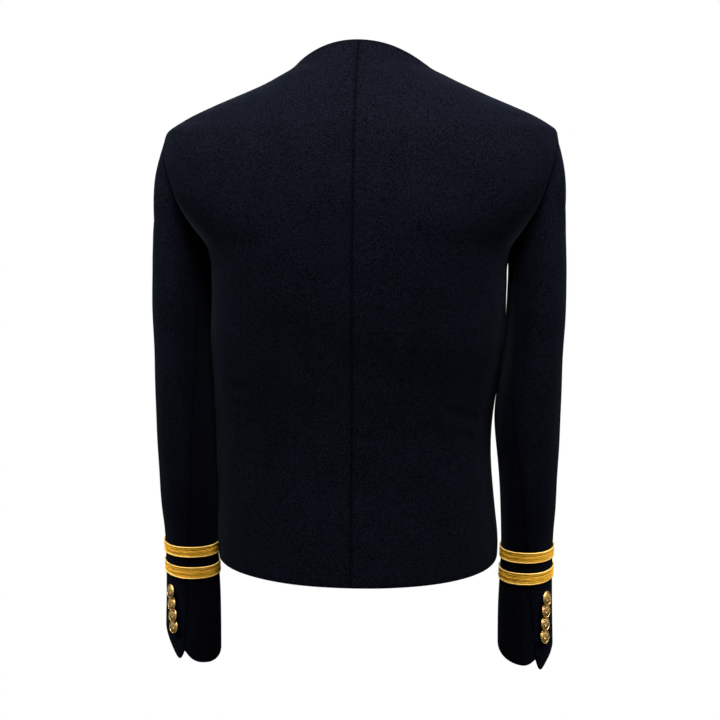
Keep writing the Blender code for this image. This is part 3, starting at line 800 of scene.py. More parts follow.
def swell_relief(across, height):
    """How far the slow swells lift the cloth."""
    relief = 0.0
    for swell in SWELLS:
        turns = swell.across * across + swell.height * height
        relief = relief + swell.size * np.sin(2.0 * math.pi * turns + swell.phase)
    return relief


def arm_creases(side):
    """The creases of a sleeve, with turns as lengths round the arm, also for the far side."""
    whole = 2.0 * math.pi * ARM_ROUND
    found = []
    for crease in SLEEVE_CREASES[side]:
        start, end = (math.radians(turn) * ARM_ROUND for turn in (crease.start_turn, crease.end_turn))
        for shift in (0.0, whole):
            found.append(Crease(start + shift, crease.start_height, end + shift, *crease[3:]))
    return found


def edge_distance(points, edge):
    """Distance of each point from a line of points."""
    start, along = edge[:-1], np.diff(edge, axis=0)
    reach = points[:, None] - start[None]
    length = np.maximum((along**2).sum(-1), SMALL_STEP**2)
    share = np.clip((reach * along).sum(-1) / length, 0.0, 1.0)
    return np.linalg.norm(reach - share[..., None] * along, axis=-1).min(axis=1)


def round_edges(outer, roll):
    """Share by which points beside the four edges sink, and how near they are to an edge."""
    sunk = np.zeros(outer.shape[:2])
    near = np.zeros(outer.shape[:2])
    every, first, last = slice(None), slice(0, EDGE_BAND), slice(-EDGE_BAND, None)
    for rows, columns, edge, radius in (
        (first, every, outer[0], roll.first),
        (last, every, outer[-1], roll.last),
        (every, first, outer[:, 0], roll.start),
        (every, last, outer[:, -1], roll.finish),
    ):
        part = outer[rows, columns]
        distance = edge_distance(part.reshape(-1, 3), edge).reshape(part.shape[:2])
        short = np.clip(1.0 - distance / radius, 0.0, 1.0)
        sunk[rows, columns] = np.maximum(sunk[rows, columns], 1.0 - np.sqrt(1.0 - short**2))
        # The nearness to an edge is what the felt paints as shade, in the seams and where the edges roll
        # away
        near[rows, columns] = np.maximum(near[rows, columns], np.exp(-distance / SHADE_REACH))
    return sunk, near


def make_wall(name, outer, through, relief, roll, finish):
    """Make a closed wall of cloth with rolled edges from a grid of points."""
    out = unit(through)
    sunk, near = round_edges(outer, roll)
    sink = (ROLL_SHARE * CLOTH / 2.0 * sunk)[..., None] * out
    lifted = outer + relief[..., None] * out
    top, bottom = lifted - sink, lifted - through + sink
    rows, columns = outer.shape[:2]
    points = np.concatenate([top.reshape(-1, 3), bottom.reshape(-1, 3)])
    at = np.arange(rows * columns).reshape(rows, columns)
    quads = np.stack([at[:-1, :-1], at[:-1, 1:], at[1:, 1:], at[1:, :-1]], axis=-1).reshape(-1, 4)
    rim = np.concatenate([at[0], at[1:, -1], at[-1, -2::-1], at[-2:0:-1, 0]])
    beyond = np.roll(rim, -1)
    far = rows * columns
    sides = np.stack([beyond, rim, far + rim, far + beyond], axis=-1)
    faces = np.concatenate([quads, far + quads[:, ::-1], sides])
    middle = top[rows // 2 : rows // 2 + 2, columns // 2 : columns // 2 + 2]
    facing = np.cross(middle[0, 1] - middle[0, 0], middle[1, 0] - middle[0, 0])
    if facing @ out[rows // 2, columns // 2] < 0.0:
        faces = faces[:, ::-1]
    piece = make_object(name, points, faces.tolist(), finish)
    # The felt reads this nearness and paints shade there
    shade_points(piece, np.concatenate([near.ravel(), near.ravel()]))
    return piece


def make_object(name, points, faces, finish):
    """Make a smooth mesh object of one material from points and faces."""
    mesh = bpy.data.meshes.new(name)
    mesh.from_pydata(np.asarray(points).tolist(), [], faces)
    mesh.shade_smooth()
    mesh.materials.append(finish)
    piece = bpy.data.objects.new(name, mesh)
    bpy.context.scene.collection.objects.link(piece)
    return piece


def shade_points(piece, values):
    """Note on each point how much painted shade its material lays there: near the edges and seams of
    the cloth, and in the hollows, rim, shank and underside of a button.
    """
    shade = piece.data.attributes.new("edge", "FLOAT", "POINT")
    shade.data.foreach_set("value", np.asarray(values, np.float32))


def settle(piece, slot, *nodes):
    """Let a finished piece ride on the body and stand for its nodes; the slot is not used."""
    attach(piece, BODY_NAME)
    if nodes:
        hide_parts(*nodes)


# The nap's noise: its detail and roughness for tufts and for patches, and the range that is used
Noise = namedtuple("Noise", "detail roughness")
TUFT_NOISE = Noise(3.0, 0.62)
PATCH_NOISE = Noise(2.0, 0.5)
NOISE_LOW = 0.32
NOISE_HIGH = 0.68

# The nap on each finish: size and share of its patches, strength and depth of its relief, and for
# metal the size of its tufts
Nap = namedtuple("Nap", "patch_size patch_share strength depth")
FELT_NAP = Nap(0.028, 0.07, 0.75, 0.0006)
THREAD_NAP = Nap(0.009, 0.25, 0.35, 0.0002)
THREAD_TUFT = 0.0009
GILT_NAP = Nap(0.004, 0.5, 0.12, 0.0001)
GILT_TUFT = 0.0006

# How much painted shade darkens the felt beside every edge and seam, what share of its colour a
# button keeps in its hollows, which is painted shade, and between which values the gilt's roughness lies
PAINTED_EDGE_SHADE = 0.95
HOLLOW_SHADE_SHARE = (0.26, 0.15, 0.05)
GILT_SMOOTH = 0.24
GILT_DULL = 0.36

# The finishes of the braid: what share of their colour they keep between strands, how metallic and
# how rough they are, and the share of the deep gold that the ground has, which is painted shade in
# the gaps between the threads
Gold = namedtuple("Gold", "dark_share metallic roughness")
DEEP_THREAD = Gold(0.66, 0.15, 0.45)
PALE_CORD = Gold(0.80, 0.10, 0.50)
GROUND_WEAVE = Gold(0.60, 0.10, 0.70)
GROUND_SHADE_SHARE = 0.35


def place(tree, kind, inputs=None, **settings):
    """Add a node with its settings, and give its inputs values or links."""
    made = tree.nodes.new(kind)
    for key, value in settings.items():
        setattr(made, key, value)
    for name, value in (inputs or {}).items():
        if isinstance(value, bpy.types.NodeSocket):
            tree.links.new(value, made.inputs[name])
        else:
            made.inputs[name].default_value = value
    return made


def calculate(tree, operation, first, second):
    """Work out one value from two."""
    return place(tree, "ShaderNodeMath", {0: first, 1: second}, operation=operation).outputs[0]


def blend_colours(tree, share, first, second):
    """Go from one colour to another by a share."""
    return place(tree, "ShaderNodeMix", {0: share, 6: first, 7: second}, data_type="RGBA").outputs[2]


def new_material(name, **values):
    """Make a material, and give its shader its plain values."""
    made = bpy.data.materials.new(name)
    made.use_nodes = True
    shader = made.node_tree.nodes["Principled BSDF"]
    for key, value in values.items():
        shader.inputs[key.replace("_", " ")].default_value = value
    return made, made.node_tree, shader


def colour4(colour, share=1.0):
    """A share of a colour, with full opacity."""
    return (*(share * part for part in colour), 1.0)


def nap_group():
    """Node group for the uneven surface of fibres and threads, from patches down to fine tufts."""
    found = bpy.data.node_groups.get("nap")
    if found:
        return found
    tree = bpy.data.node_groups.new("nap", "ShaderNodeTree")
    tree.interface.new_socket("Vector", in_out="INPUT", socket_type="NodeSocketVector")
    for name in ("Tuft Size", "Patch Size", "Patch Share"):
        tree.interface.new_socket(name, in_out="INPUT", socket_type="NodeSocketFloat")
    for name in ("Shade", "Relief"):
        tree.interface.new_socket(name, in_out="OUTPUT", socket_type="NodeSocketFloat")
    given = place(tree, "NodeGroupInput").outputs
    waves = []
    for size, noise in (("Tuft Size", TUFT_NOISE), ("Patch Size", PATCH_NOISE)):
        inputs = {
            "Vector": given["Vector"],
            "Scale": calculate(tree, "DIVIDE", 1.0, given[size]),
            "Detail": noise.detail,
            "Roughness": noise.roughness,
        }
        waves.append(place(tree, "ShaderNodeTexNoise", inputs).outputs[0])
    tuft, patch = waves
    mixed = place(tree, "ShaderNodeMix", {0: given["Patch Share"], 2: tuft, 3: patch}).outputs[0]
    spread = place(
        tree,
        "ShaderNodeMapRange",
        {"Value": mixed, "From Min": NOISE_LOW, "From Max": NOISE_HIGH},
        interpolation_type="SMOOTHSTEP",
    )
    place(tree, "NodeGroupOutput", {"Shade": spread.outputs["Result"], "Relief": tuft})
    return tree


def lay_nap(tree, shader, tuft_size, nap):
    """Lay a nap's relief on a finish, and return how light the nap is from place to place."""
    inputs = {
        "Vector": place(tree, "ShaderNodeTexCoord").outputs["Object"],
        "Tuft Size": tuft_size,
        "Patch Size": nap.patch_size,
        "Patch Share": nap.patch_share,
    }
    laid = place(tree, "ShaderNodeGroup", inputs, node_tree=nap_group()).outputs
    relief = {"Height": laid["Relief"], "Strength": nap.strength, "Distance": nap.depth}
    bump = place(tree, "ShaderNodeBump", relief)
    tree.links.new(bump.outputs["Normal"], shader.inputs["Normal"])
    return laid["Shade"]


def felt_material(cloth):
    """Black felted wool: a matt nap of tufts, a little sheen, and painted shade that darkens it beside every
    seam and edge of the cloth.
    """
    found = bpy.data.materials.get("felted_wool")
    if found:
        return found
    made, tree, shader = new_material(
        "felted_wool",
        Roughness=0.95,
        Specular_IOR_Level=0.0,
        Sheen_Weight=0.017,
        Sheen_Roughness=0.36,
        Sheen_Tint=colour4(cloth.sheen_colour),
    )
    nap = lay_nap(tree, shader, cloth.nap_size, FELT_NAP)
    edge = place(tree, "ShaderNodeAttribute", attribute_name="edge").outputs["Fac"]
    # Painted shade: the felt goes towards its shade colour beside every edge and seam
    sewn = calculate(tree, "MULTIPLY", edge, PAINTED_EDGE_SHADE)
    fibre = blend_colours(tree, nap, colour4(cloth.shade_colour), colour4(cloth.nap_colour))
    dimmed = blend_colours(tree, sewn, fibre, colour4(cloth.shade_colour))
    tree.links.new(dimmed, shader.inputs["Base Color"])
    return made


def thread_material(name, colour, gold):
    """Metal thread: a lightly worn gold whose strands differ a little in colour."""
    found = bpy.data.materials.get(name)
    if found:
        return found
    made, tree, shader = new_material(name, Metallic=gold.metallic, Roughness=gold.roughness)
    nap = lay_nap(tree, shader, THREAD_TUFT, THREAD_NAP)
    strand = blend_colours(tree, nap, colour4(colour, gold.dark_share), colour4(colour))
    tree.links.new(strand, shader.inputs["Base Color"])
    return made


def gilt_material(buttons):
    """Gilt metal: bright on what stands proud, and darker and duller in the hollows, where its colour is
    painted shade, as it is between the strands of its rim and on its shank and underside.
    """
    found = bpy.data.materials.get("gilt_metal")
    if found:
        return found
    made, tree, shader = new_material("gilt_metal", Metallic=1.0)
    nap = lay_nap(tree, shader, GILT_TUFT, GILT_NAP)
    # Painted shade: the gilt goes darker where a point is marked hollow
    hollow = place(tree, "ShaderNodeAttribute", attribute_name="edge").outputs["Fac"]
    deep = tuple(part * share for part, share in zip(buttons.gilt_colour, HOLLOW_SHADE_SHARE))
    shaded = blend_colours(tree, hollow, colour4(buttons.gilt_colour), colour4(deep))
    tree.links.new(shaded, shader.inputs["Base Color"])
    rough = place(tree, "ShaderNodeMapRange", {"Value": nap, "To Min": GILT_SMOOTH, "To Max": GILT_DULL})
    tree.links.new(rough.outputs["Result"], shader.inputs["Roughness"])
    return made


# The laid thread: its sides and rings, the step that finds its way, and what each thread has
THREAD_SIDES = 6
THREAD_RINGS = 4
WAY_STEP = 1e-4
Thread = namedtuple("Thread", "length width height slant unevenness seed")


def thread_tree():
    """Geometry Nodes that lay one short rounded thread on each point, along its own way."""
    found = bpy.data.node_groups.get("laid_threads")
    if found:
        return found
    tree = bpy.data.node_groups.new("laid_threads", "GeometryNodeTree")
    sockets = dict.fromkeys(("Length", "Width", "Height", "Slant", "Unevenness"), "Float")
    sockets = {"Geometry": "Geometry", **sockets, "Seed": "Int", "Finish": "Material"}
    for name, kind in sockets.items():
        tree.interface.new_socket(name, in_out="INPUT", socket_type=f"NodeSocket{kind}")
    tree.interface.new_socket("Geometry", in_out="OUTPUT", socket_type="NodeSocketGeometry")
    given = place(tree, "NodeGroupInput").outputs
    ways = {}
    for name in ("along", "out"):
        read = place(tree, "GeometryNodeInputNamedAttribute", {"Name": name}, data_type="FLOAT_VECTOR")
        ways[name] = read.outputs["Attribute"]
    laid = place(tree, "FunctionNodeAlignRotationToVector", {"Vector": ways["along"]}, axis="X")
    upright = place(
        tree,
        "FunctionNodeAlignRotationToVector",
        {"Rotation": laid.outputs["Rotation"], "Vector": ways["out"]},
        axis="Z",
        pivot_axis="X",
    )
    less = calculate(tree, "SUBTRACT", 1.0, given["Unevenness"])
    more = calculate(tree, "ADD", 1.0, given["Unevenness"])
    chance = {"Min": less, "Max": more, "Seed": given["Seed"]}
    vary = place(tree, "FunctionNodeRandomValue", chance, data_type="FLOAT")
    varied = [socket for socket in vary.outputs if socket.enabled][0]
    slant = calculate(tree, "MULTIPLY", given["Slant"], varied)
    turn = place(tree, "FunctionNodeAxisAngleToRotation", {"Axis": (0.0, 0.0, 1.0), "Angle": slant})
    turned = place(
        tree,
        "FunctionNodeRotateRotation",
        {"Rotation": upright.outputs["Rotation"], "Rotate By": turn.outputs["Rotation"]},
        rotation_space="LOCAL",
    )
    long = calculate(tree, "MULTIPLY", given["Length"], varied)
    size = place(tree, "ShaderNodeCombineXYZ", {"X": long, "Y": given["Width"], "Z": given["Height"]})
    form = {"Segments": THREAD_SIDES, "Rings": THREAD_RINGS, "Radius": 0.5}
    laying = place(
        tree,
        "GeometryNodeInstanceOnPoints",
        {
            "Points": given["Geometry"],
            "Instance": place(tree, "GeometryNodeMeshUVSphere", form).outputs["Mesh"],
            "Rotation": turned.outputs["Rotation"],
            "Scale": size.outputs["Vector"],
        },
    )
    real = place(tree, "GeometryNodeRealizeInstances", {"Geometry": laying.outputs["Instances"]})
    soft = place(tree, "GeometryNodeSetShadeSmooth", {"Geometry": real.outputs["Geometry"]})
    finished = {"Geometry": soft.outputs["Geometry"], "Material": given["Finish"]}
    done = place(tree, "GeometryNodeSetMaterial", finished)
    place(tree, "NodeGroupOutput", {"Geometry": done.outputs["Geometry"]})
    return tree


def lay_threads(name, points, along, out, thread, finish):
    """Lay threads of one size on points and return them as one plain mesh object."""
    piece = make_object(name, points, [], finish)
    for key, values in (("along", along), ("out", out)):
        made = piece.data.attributes.new(key, "FLOAT_VECTOR", "POINT")
        made.data.foreach_set("vector", np.asarray(values, np.float32).ravel())
    modifier = piece.modifiers.new("laid_threads", "NODES")
    modifier.node_group = thread_tree()
    values = {key.capitalize(): value for key, value in thread._asdict().items()}
    values["Finish"] = finish
    for item in modifier.node_group.interface.items_tree:
        if item.in_out == "INPUT" and item.name in values:
            modifier[item.identifier] = values[item.name]
    bpy.context.view_layer.update()
    graph = bpy.context.evaluated_depsgraph_get()
    mesh = bpy.data.meshes.new_from_object(piece.evaluated_get(graph))
    piece.modifiers.clear()
    piece.data = mesh
    mesh.name = name
    return piece


def join(name, pieces):
    """Join mesh objects into one, which keeps every material."""
    first = pieces[0]
    with bpy.context.temp_override(active_object=first, selected_editable_objects=pieces):
        bpy.ops.object.join()
    first.name = name
    return first


def read_along(run, table, at):
    """Values of a table's columns at places along a line."""
    return np.stack([np.interp(at, run, column) for column in table.T], axis=-1)


def evenly(points, others, pitch, closed=False):
    """Points a pitch apart along a line, their way along it, and other values read with them."""
    if closed:
        points = np.concatenate([points, points[:1]])
        others = np.concatenate([others, others[:1]])
    run = run_length(points, 0)
    count = max(2, int(round(run[-1] / pitch)))
    at = (np.arange(count) + 0.5) / count * run[-1]
    ahead = read_along(run, points, np.minimum(at + WAY_STEP, run[-1]))
    behind = read_along(run, points, np.maximum(at - WAY_STEP, 0.0))
    return read_along(run, points, at), unit(ahead - behind), unit(read_along(run, others, at))


# The sewing: how deep a stitch lies in its seam, how far it reaches across, how it slants and
# varies, and how far down the vent's seam is sewn
STITCH_DEPTH = 0.00075
STITCH_ACROSS = 0.0015
STITCH_SLANT = 12.0
STITCH_UNEVENNESS = 0.1
STITCH_SEED = 3
SEAM_POINTS = 200
VENT_SEWN_TO = 0.91


def body_seams():
    """Points and outward ways along the seams of the body, from one end of each to the other."""
    row = np.linspace(0, PANEL_ROWS, SEAM_POINTS)
    seams = []
    for side in SIDE_NAMES:
        for rows, share in ((row[row <= LOWER_ROWS], 1.0), (row[row >= HOLE_TOP_ROW], 1.0)):
            angle, height = panel_place("back", rows, share)
            seams.append((body_point(side, "back", angle, height), body_normal(side, "back", angle, height)))
        turn = np.linspace(0.0, 2.0 * math.pi, SEAM_POINTS)
        at, out, onward, bend = armhole_frame(side, turn)
        seams.append((at, unit(out * np.cos(bend / 2) + onward * np.sin(bend / 2))))
    angle, height = panel_place("back", row, 0.0)
    seams.append((body_point(LEFT, "back", angle, height), body_normal(LEFT, "back", angle, height)))
    return seams


def sleeve_seams(side):
    """Points and outward ways along the two seams of a sleeve, down to the vent or the hem."""
    seams = []
    for column, vent_side, last in ((TOP_COLUMNS, "under", VENT_SEWN_TO), (-TOP_COLUMNS, "top", 1.0)):
        cap_share = np.linspace(0.0, 1.0, SEAM_POINTS)
        angle = np.full(SEAM_POINTS, math.radians(column * 180.0 / ARMHOLE_STEPS))
        cap = cap_point(side, angle, cap_share)
        cap_out = cap_normal(side, angle, cap_share)
        height, tube_angle = cuff_lines(side, float(column), vent_side, np.linspace(0.0, last, SEAM_POINTS))
        tube = tube_point(side, tube_angle, height)
        tube_out = tube_normal(side, tube_angle, height)
        seams.append((np.concatenate([cap, tube[1:]]), np.concatenate([cap_out, tube_out[1:]])))
    return seams


def sew(name, seams, cloth):
    """Lay the stitches of several seams, each one across its seam and below the surface."""
    points, along, out = [], [], []
    for line, line_out in seams:
        at, way, up = evenly(line, line_out, cloth.stitch_pitch)
        points.append(at - STITCH_DEPTH * up)
        along.append(np.cross(up, way))
        out.append(up)
    slant = math.radians(STITCH_SLANT)
    thread = Thread(STITCH_ACROSS, cloth.thread, cloth.thread, slant, STITCH_UNEVENNESS, STITCH_SEED)
    laid = (np.concatenate(part) for part in (points, along, out))
    settle(lay_threads(name, *laid, thread, felt_material(cloth)), "felt")


# Braid: its width, its clearance from the sleeve, the top of each ring, how many points it has to a
# column of the sleeve, and the rise of its ground at places across it
BRAID_WIDTH = 0.0120
BRAID_CLEARANCE = 0.0004
BRAID_TOPS = (-0.5145, -0.5375)
BRAID_AROUND = 10
GroundPoint = namedtuple("GroundPoint", "across rise")
GROUND = (
    GroundPoint(0.015, 0.0001),
    GroundPoint(0.020, 0.0006),
    GroundPoint(0.060, 0.0009),
    GroundPoint(0.110, 0.0007),
    GroundPoint(0.180, 0.0009),
    GroundPoint(0.260, 0.0009),
    GroundPoint(0.325, 0.0004),
    GroundPoint(0.400, 0.0009),
    GroundPoint(0.500, 0.0010),
    GroundPoint(0.600, 0.0009),
    GroundPoint(0.675, 0.0004),
    GroundPoint(0.740, 0.0009),
    GroundPoint(0.820, 0.0009),
    GroundPoint(0.890, 0.0007),
    GroundPoint(0.940, 0.0009),
    GroundPoint(0.980, 0.0006),
    GroundPoint(0.985, 0.0001),
)

# Rows of threads on the braid: place across it, rise, the size of a thread, its slant in degrees
# to the way round the cuff, the pitch along the row, and whether it is one of the pale cords
ThreadRow = namedtuple("ThreadRow", "across rise length width height slant pitch pale")
THREAD_ROWS = (
    ThreadRow(0.058, 0.00085, 0.0019, 0.00080, 0.00110, 52, 0.00080, True),
    ThreadRow(0.165, 0.00080, 0.0017, 0.00070, 0.00060, 40, 0.00090, False),
    ThreadRow(0.255, 0.00080, 0.0017, 0.00070, 0.00060, -40, 0.00090, False),
    ThreadRow(0.395, 0.00090, 0.0016, 0.00080, 0.00070, 34, 0.00105, False),
    ThreadRow(0.500, 0.00100, 0.0016, 0.00080, 0.00070, -34, 0.00105, False),
    ThreadRow(0.605, 0.00090, 0.0016, 0.00080, 0.00070, 34, 0.00105, False),
    ThreadRow(0.745, 0.00080, 0.0017, 0.00070, 0.00060, 40, 0.00090, False),
    ThreadRow(0.835, 0.00080, 0.0017, 0.00070, 0.00060, -40, 0.00090, False),
    ThreadRow(0.942, 0.00085, 0.0019, 0.00080, 0.00110, -52, 0.00080, True),
)


def braid_line(side, top, across, rise):
    """Points and outward ways round the cuff, at a share of the braid's width and a rise."""
    count = (2 * TOP_COLUMNS + UNDER_COLUMNS) * BRAID_AROUND
    columns = -TOP_COLUMNS + np.arange(count) / BRAID_AROUND
    height = np.full(count, top - across * BRAID_WIDTH)
    angle = sleeve_angle(side, columns, height)
    out = tube_normal(side, angle, height)
    return tube_point(side, angle, height) + (rise + BRAID_CLEARANCE) * out, out


def make_braid(side, number, top, braid):
    """Make a ring of braid: its ground, then its rows of threads."""
    name = f"gold_braid_{SIDE_NAMES[side]}_{number}"
    deep = thread_material("deep_gold_thread", braid.deep_colour, DEEP_THREAD)
    pale = thread_material("pale_gold_cord", braid.pale_colour, PALE_CORD)
    # Painted shade: the ground is darker than the threads, so the gaps between them read as shade
    dark = tuple(GROUND_SHADE_SHARE * part for part in braid.deep_colour)
    ground = thread_material("gold_ground", dark, GROUND_WEAVE)
    section = [braid_line(side, top, point.across, point.rise)[0] for point in GROUND]
    section += [braid_line(side, top, point.across, 0.0)[0] for point in (GROUND[-1], GROUND[0])]
    points = np.array(section)
    rows, columns = points.shape[:2]
    at = np.arange(rows * columns).reshape(rows, columns)
    below, beside = np.roll(at, -1, 0), np.roll(at, -1, 1)
    faces = np.stack([at, beside, np.roll(below, -1, 1), below], axis=-1).reshape(-1, 4)
    if side == RIGHT:
        faces = faces[:, ::-1]
    pieces = [make_object(name, points.reshape(-1, 3), faces.tolist(), ground)]
    for number_in_braid, row in enumerate(THREAD_ROWS):
        line, line_out = braid_line(side, top, row.across, row.rise)
        at, along, out = evenly(line, line_out, row.pitch, closed=True)
        seed = braid.seed + number_in_braid + len(THREAD_ROWS) * number
        slant = math.radians(row.slant)
        thread = Thread(row.length, row.width, row.height, slant, braid.unevenness, seed)
        finish = pale if row.pale else deep
        pieces.append(lay_threads(f"{name}_row", at, along, out, thread, finish))
    piece = join(name, pieces)
    settle(piece, "braid", f"braid_{SIDE_NAMES[side]}_{number}")


# Buttons: their places on the cuff, as on the solids
BUTTON_TOP = -0.5652
BUTTON_PITCH = 0.0118
BUTTON_COUNT = 4
BUTTON_COLUMN = 5.3
BUTTON_LEAN = 0.4
BUTTON_LAP = 0.20

# The turned profile of a button: its shank, underside, roped rim and domed face
BUTTON_AROUND = 156
SHANK_RADIUS = 0.0022
SHANK_FOOT = 0.0003
SHANK_TOP = 0.0024
SHANK_RINGS = 5
ButtonPoint = namedtuple("ButtonPoint", "radius height")
UNDERSIDE = (ButtonPoint(0.0022, 0.0026), ButtonPoint(0.0045, 0.0026), ButtonPoint(0.0064, 0.0029))
RIM_RADIUS = 0.0070
RIM_HEIGHT = 0.0037
RIM_ROUND = 0.00068
RIM_RINGS = 12
RIM_FROM = -110.0
RIM_TO = 125.0
RIM_TWIST = 2.0
STRAND_DEPTH = 0.00016
FACE_RADIUS = 0.0065
FACE_FROM = 0.985
FACE_EDGE_HEIGHT = 0.0037
FACE_RISE = 0.0017
FACE_RINGS = 26

# What is struck into the face: a boss, petals and beads, with how full and how blunt they are
BOSS_HEIGHT = 0.00035
PETAL_FROM = 0.0011
PETAL_TO = 0.0050
PETAL_FULL = 0.7
PETAL_BLUNT = 0.6
BEAD_RADIUS = 0.0057
BEAD_WIDTH = 0.00042
BEAD_COUNT = 26
BEAD_HEIGHT = 0.00038
BEAD_MEAN = 0.55
BEAD_SWING = 0.45


def button_face(radius, turn, buttons):
    """Height of the struck face: a boss, a ring of petals and a ring of beads on a dome."""
    dome = FACE_EDGE_HEIGHT + FACE_RISE * np.sqrt(np.clip(1.0 - (radius / FACE_RADIUS) ** 2, 0.0, 1.0))
    reach = np.clip((radius - PETAL_FROM) / (PETAL_TO - PETAL_FROM), 0.0, 1.0)
    around = np.abs(np.cos(turn * buttons.petals / 2.0)) ** PETAL_FULL
    petal = around * np.sin(math.pi * reach) ** PETAL_BLUNT
    ring = np.exp(-(((radius - BEAD_RADIUS) / BEAD_WIDTH) ** 2))
    bead = ring * (BEAD_MEAN + BEAD_SWING * np.cos(BEAD_COUNT * turn))
    boss = np.sqrt(np.clip(1.0 - (radius / PETAL_FROM) ** 2, 0.0, 1.0))
    struck = buttons.relief * petal + BEAD_HEIGHT * bead + BOSS_HEIGHT * boss
    # Where nothing is struck, the face is marked hollow for painted shade
    hollow = 1.0 - np.clip(petal + bead + boss, 0.0, 1.0)
    return dome + struck - BEAD_HEIGHT, hollow


def button_rings(buttons):
    """Radius, height and hollowness of a button's rings, from the foot of its shank to its crown; the gilt
    paints the hollowness as shade.
    """
    turn = np.linspace(0.0, 2.0 * math.pi, BUTTON_AROUND, endpoint=False)
    flat = np.ones_like(turn)
    rings = []
    # The shank and underside are marked fully hollow, for painted shade under the button
    for height in np.linspace(SHANK_FOOT, SHANK_TOP, SHANK_RINGS):
        rings.append((SHANK_RADIUS * flat, height * flat, flat))
    for point in UNDERSIDE:
        rings.append((point.radius * flat, point.height * flat, flat))
    for around in np.radians(np.linspace(RIM_FROM, RIM_TO, RIM_RINGS)):
        strand = np.cos(buttons.strands * turn + RIM_TWIST * around)
        size = RIM_ROUND + STRAND_DEPTH * (strand - 1.0)
        # Between the rope's strands the rim is marked hollow, for painted shade
        hollow = 0.5 - 0.5 * strand
        rings.append((RIM_RADIUS + size * math.cos(around), RIM_HEIGHT + size * math.sin(around), hollow))
    for share in np.linspace(FACE_FROM, 0.0, FACE_RINGS)[:-1]:
        radius = FACE_RADIUS * share
        height, hollow = button_face(radius * flat, turn, buttons)
        rings.append((radius * flat, height, hollow))
    return turn, rings


def make_button(side, number, buttons):
    """Make a gilt button on its shank, tilted so that it laps over the next one down."""
    height = BUTTON_TOP - number * BUTTON_PITCH
    angle = sleeve_angle(side, np.array(BUTTON_COLUMN + number * BUTTON_LEAN), height)
    at = tube_point(side, angle, height)
    out = tube_normal(side, angle, height)
    up = unit(tube_point(side, angle, height + SLOPE_STEP) - at)
    across = np.cross(out, up)
    turn, rings = button_rings(buttons)
    crown = button_face(np.zeros(1), np.zeros(1), buttons)[0][0]
    # The foot of the shank is marked hollow and the crown not, for painted shade
    points, hollows = [at + rings[0][1][0] * out], [1.0]
    for ring_number, (radius, rise, hollow) in enumerate(rings):
        flat = radius[:, None] * (np.cos(turn)[:, None] * across + np.sin(turn)[:, None] * up)
        lap = BUTTON_LAP * radius * np.sin(turn) if ring_number >= SHANK_RINGS else 0.0
        points.extend(at + flat + (rise - lap)[:, None] * out)
        hollows.extend(hollow)
    points.append(at + crown * out)
    hollows.append(0.0)
    ring = 1 + np.arange(len(rings) * BUTTON_AROUND).reshape(len(rings), BUTTON_AROUND)
    beside = np.roll(ring, -1, axis=1)
    quads = np.stack([ring[:-1], beside[:-1], beside[1:], ring[1:]], axis=-1).reshape(-1, 4)
    faces = quads.tolist()
    faces += [[0, there, here] for here, there in zip(ring[0].tolist(), beside[0].tolist())]
    last = len(points) - 1
    faces += [[last, here, there] for here, there in zip(ring[-1].tolist(), beside[-1].tolist())]
    name = f"{SIDE_NAMES[side]}_{number + 1}"
    piece = make_object(f"gilt_button_{name}", points, faces, gilt_material(buttons))
    shade_points(piece, hollows)
    settle(piece, "gilt", f"button_{name}")


# The cut of each piece: width and length of the cloth that it takes, and its own flat area
Cut = namedtuple("Cut", "width length area")


def add_cloth(node, grid, relief, roll, cloth):
    """Make a piece of cloth that stands for a node."""
    outer, through = grid
    piece = make_wall(f"cloth_{node}", outer, through, relief, roll, felt_material(cloth))
    settle(piece, "felt", node)


class JACKET_OT_add_body(bpy.types.Operator):
    """Make the two backs and the two fronts"""

    bl_idname = "jacket.add_body"
    bl_label = "Backs and fronts"

    def execute(self, context):
        cloth = context.scene.jacket_cloth
        for side, side_name in SIDE_NAMES.items():
            for face, creases in (("back", BACK_CREASES), ("front", FRONT_CREASES)):
                outer, through, across, height = panel(side, face)
                relief = crease_relief(across, height, creases) + swell_relief(across, height)
                to_side = run_length(outer, 1)[:, -1:] - run_length(outer, 1)
                relief *= cloth.creases * (1.0 - fade(to_side, CREASE_MARGIN))
                centre = cloth.seam_round if face == "back" else cloth.edge_round
                roll = Roll(cloth.edge_round, cloth.edge_round, centre, cloth.seam_round)
                add_cloth(f"{face}_{side_name}", (outer, through), relief, roll, cloth)
        return {"FINISHED"}


class JACKET_OT_add_sleeves(bpy.types.Operator):
    """Make the top sleeve and the under sleeve of each arm"""

    bl_idname = "jacket.add_sleeves"
    bl_label = "Sleeves"

    def execute(self, context):
        cloth = context.scene.jacket_cloth
        for side, side_name in SIDE_NAMES.items():
            for part, across in (("top", TOP_ACROSS), ("under", UNDER_ACROSS)):
                outer, through, round_arm, height = sleeve(side, across, part)
                relief = crease_relief(round_arm, height, arm_creases(side))
                relief = relief + swell_relief(round_arm, height)
                clear = 1.0 - fade(run_length(outer, 0), CREASE_MARGIN)
                clear = clear * ease((height - CUFF_FLAT_FROM + CUFF_FLAT_REACH) / CUFF_FLAT_REACH)
                inward = -np.cos(round_arm / ARM_ROUND)
                clear = clear * (1.0 - CALM_SHARE * ease((inward - CALM_FROM) / (1.0 - CALM_FROM)))
                relief = relief * cloth.creases * clear
                roll = Roll(cloth.seam_round, cloth.edge_round, cloth.seam_round, cloth.seam_round)
                node = f"sleeve_{side_name}_{part}"
                add_cloth(node, (outer, through), relief, roll, cloth)
        return {"FINISHED"}


